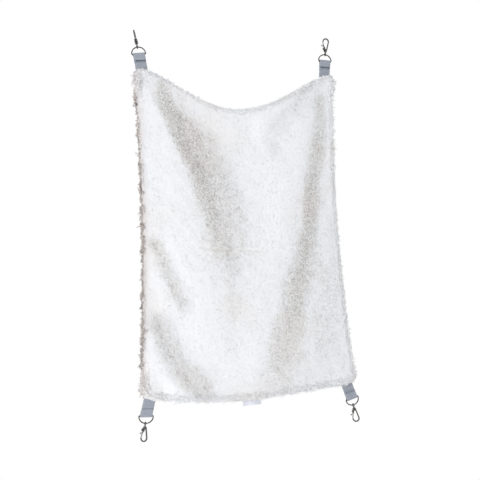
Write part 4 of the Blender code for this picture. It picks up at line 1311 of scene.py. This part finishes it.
def arc(x, z, half_x, half_z, start, end, steps):
    angles = np.radians(np.linspace(start, end, steps + 1))
    return np.stack([x + half_x * np.cos(angles), z + half_z * np.sin(angles)], 1)


def curve_through(points, steps):
    """A smooth line through points, as a Catmull-Rom spline."""
    points = np.array(points, float)
    ahead, beyond = 2 * points[0] - points[1], 2 * points[-1] - points[-2]
    padded = np.concatenate([[ahead], points, [beyond]])
    line = []
    for a, b, c, d in zip(padded, padded[1:], padded[2:], padded[3:]):
        for t in np.linspace(0, 1, steps, endpoint=False):
            bend, twist = 2 * a - 5 * b + 4 * c - d, 3 * b - a - 3 * c + d
            line.append(0.5 * (2 * b + (c - a) * t + bend * t**2 + twist * t**3))
    return np.array([*line, points[-1]])


def ring_mesh():
    """A D-ring: the bow, two small corners and the straight bar that the strap folds round."""
    radius, straight_end = ring_corner, ring_half - ring_corner
    bow = arc(0, radius, ring_half, ring_rise, 0, 180, 56)
    left = arc(-straight_end, radius, radius, radius, 180, 270, 8)[1:]
    straight = np.linspace(-straight_end, straight_end, 14)[1:-1]
    right = arc(straight_end, radius, radius, radius, 270, 360, 8)[:-1]
    path = np.concatenate([bow, left, np.stack([straight, 0 * straight], 1), right])
    return wire(path, ring_wire, ring_wire, 18, closed=True)


def eye_mesh():
    """The swivel eye on its shank, with the riveted head inside the barrel."""
    middle = eye_bore + eye_wire
    loop = wire(arc(0, 0, middle, middle, 0, 360, 44)[:-1], eye_wire, eye_wire, 16, closed=True)
    upright = Matrix.Translation((0, 0, eye_offset)) @ Matrix.Rotation(math.pi / 2, 4, "Z")
    foot = eye_offset + eye_outer - eye_wire - 0.0004
    seat = hook_offset + barrel_floor + shank_gap
    head = seat + rivet_height
    profile = [(on_axis, foot), (shank_radius * 1.5, foot), (shank_radius * 1.12, foot + 0.0005)]
    profile += [(shank_radius, foot + 0.0009), (shank_radius, seat), (rivet_radius * 0.92, seat)]
    profile += [(rivet_radius, seat + 0.0002), (rivet_radius, head - rivet_height / 2)]
    profile += [(rivet_radius * 0.85, head - 0.0002), (rivet_radius * 0.5, head - 0.00003)]
    return joined(turned_mesh(loop, upright), lathe(profile + [(on_axis, head)], 28))


def barrel_mesh():
    """The swivel barrel: a collar at each rim, a waist between them, and the socket for the rivet."""
    r, h, bore = barrel_radius, barrel_height, shank_radius + shank_gap
    profile = [(bore, 0.0002), (bore + 0.0002, 0), (r - 0.0005, 0), (r - 0.00015, 0.00015), (r, 0.0005)]
    profile += [(r, 0.0010), (r - 0.00012, 0.00125), (r - 0.0003, 0.0015), (r - 0.0003, h - 0.0016)]
    profile += [(r - 0.0001, h - 0.0013), (r, h - 0.001), (r, h - 0.0005), (r - 0.00015, h - 0.00015)]
    profile += [(r - 0.0005, h), (cavity_radius, h), (cavity_radius, barrel_floor), (bore, barrel_floor)]
    return lathe(profile, 40)


def claw_mesh():
    """The fixed claw: out of the barrel, up one side, over the crown and down to the nose."""
    start = [(claw_foot, claw_start - 0.0012), (claw_foot, claw_start)]
    for height_share, out_share in ((0.30, 0.32), (0.72, 0.74)):
        height = claw_start + (crown_centre - claw_start) * height_share
        start.append((claw_foot + (claw_half - claw_foot) * out_share, height))
    start.append((claw_half, crown_centre))
    rising = curve_through(start, 7)
    path = np.concatenate([rising, arc(0, crown_centre, claw_half, claw_half, 0, 180, 40)[1:]])
    falling = [(-claw_half, z) for z in np.linspace(crown_centre, nose_height, 5)[1:]]
    path = np.concatenate([path, falling])
    along = np.linspace(0, 1, len(path))
    wide = claw_half_width * (1.0 + 0.10 * np.sin(np.pi * along))
    deep = claw_half_depth * (1.08 - 0.18 * along)
    return wire(path, wide, deep, 18)


def cheek_outline():
    outer, inner = -pivot_side - cheek_out, -pivot_side + cheek_out
    crown = arc(-pivot_side, pivot_height - 0.0001, cheek_out, cheek_rise, 0, 180, 14)
    foot = [(outer, cheek_foot + cheek_out), (outer + 0.0006, cheek_foot + 0.0006)]
    return np.concatenate([crown, foot, [(outer + cheek_out, cheek_foot), (inner, cheek_foot)]])


def hook_mesh():
    """The hook's body: barrel, claw, and the two cheeks with the floor between them."""
    inner = hub_half_depth + slot_gap
    sides = (inner, cheek_half_depth), (-cheek_half_depth, -inner)
    cheeks = [plate(cheek_outline(), low, high, 0.00025) for low, high in sides]
    left, right, foot, top = slot_floor
    slab = [(left, foot), (right, foot), (right, top), (left, top)]
    return joined(barrel_mesh(), claw_mesh(), plate(slab, -inner, inner, 0.00005), *cheeks)


def trigger_mesh():
    """The sprung gate about its pin: hub, tapering stem, and the thumb lug with its knob."""
    tip_x, tip_z = pivot_side - claw_half, nose_height - gate_gap - pivot_height
    reach = math.hypot(tip_x + stem_half_width, tip_z)
    tip = tip_x, math.sqrt(reach**2 - tip_x**2) - 0.00012
    stem = curve_through([(0, 0), (tip_x * 0.45, tip_z * 0.5), (tip_x, tip_z * 0.86), tip], 6)
    stem = wire(stem, stem_half_width, stem_half_depth, 16)
    r, h, bevel = hub_radius, hub_half_depth, 0.0002
    profile = [(on_axis, -h), (r - bevel, -h), (r, -h + bevel), (r, h - bevel), (r - bevel, h)]
    hub = turned_mesh(lathe(profile + [(on_axis, h)], 28), to_depth)
    rise = lug_height - pivot_height
    start = tip_x * rise / tip_z
    end_x, end_z = start - lug_reach, rise + lug_rise
    lug = [(start, rise), ((start + end_x) / 2, rise + lug_rise * 0.35), (end_x, end_z)]
    lug = wire(curve_through(lug, 6), lug_half_width * 0.85, lug_half_depth, 14)
    angles = np.linspace(0, np.pi, 11)
    ball = [(max(lug_knob * math.sin(a), on_axis), -lug_knob * math.cos(a)) for a in angles]
    knob = turned_mesh(lathe(ball, 22), Matrix.Translation((end_x, 0, end_z)))
    return joined(stem, hub, lug, knob)


def pin_mesh():
    """The pin's riveted heads stand a little proud of the cheeks."""
    h, r = cheek_half_depth, pin_radius
    profile = [(on_axis, -h - 0.00018), (r * 0.9, -h - 0.00012), (r * 1.35, -h), (r, -h + 0.0001)]
    profile += [(radius, -height) for radius, height in profile[::-1]]
    return turned_mesh(lathe(profile, 22), to_depth)


def make_spring(name):
    """The leaf under the trigger, the part's own mesh in steel. Its foot stays in the barrel."""
    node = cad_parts[f"trigger_spring_{name}"]
    leaf = bpy.data.objects.new(f"spring_{name}", node.data.copy())
    leaf.data.transform(node.matrix_world)
    leaf.data.materials.clear()
    leaf.data.materials.append(steel)
    bpy.context.scene.collection.objects.link(leaf)
    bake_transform(leaf)
    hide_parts(f"trigger_spring_{name}")


def make_hardware(name, meshes):
    """The metal pieces of a corner."""
    ring, eye, hook = corner_frames(name)
    pin = hook @ Matrix.Translation((-pivot_side, 0, pivot_height))
    rows = [
        ("ring", "d_ring", ring, "ring"),
        ("eye", "swivel_eye", eye, "eye"),
        ("hook", "hook_body", hook, "hook"),
        ("trigger", "trigger", pin, "trigger"),
        ("pin", "trigger_pin", pin, "hook"),
    ]
    for key, node, place, body in rows:
        piece = mesh_object(f"{key}_{name}", *meshes[key], nickel)
        piece.data.set_sharp_from_angle(angle=math.radians(38))
        piece.data.transform(to_origin @ place)
        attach(piece, f"{body}_{name}")
        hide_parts(f"{node}_{name}")
    make_spring(name)


make_mat()
meshes = {"ring": ring_mesh(), "eye": eye_mesh(), "hook": hook_mesh()}
meshes.update(trigger=trigger_mesh(), pin=pin_mesh())
for corner in corners:
    make_hardware(corner, meshes)
    make_strap(corner)
    make_stitches(corner)
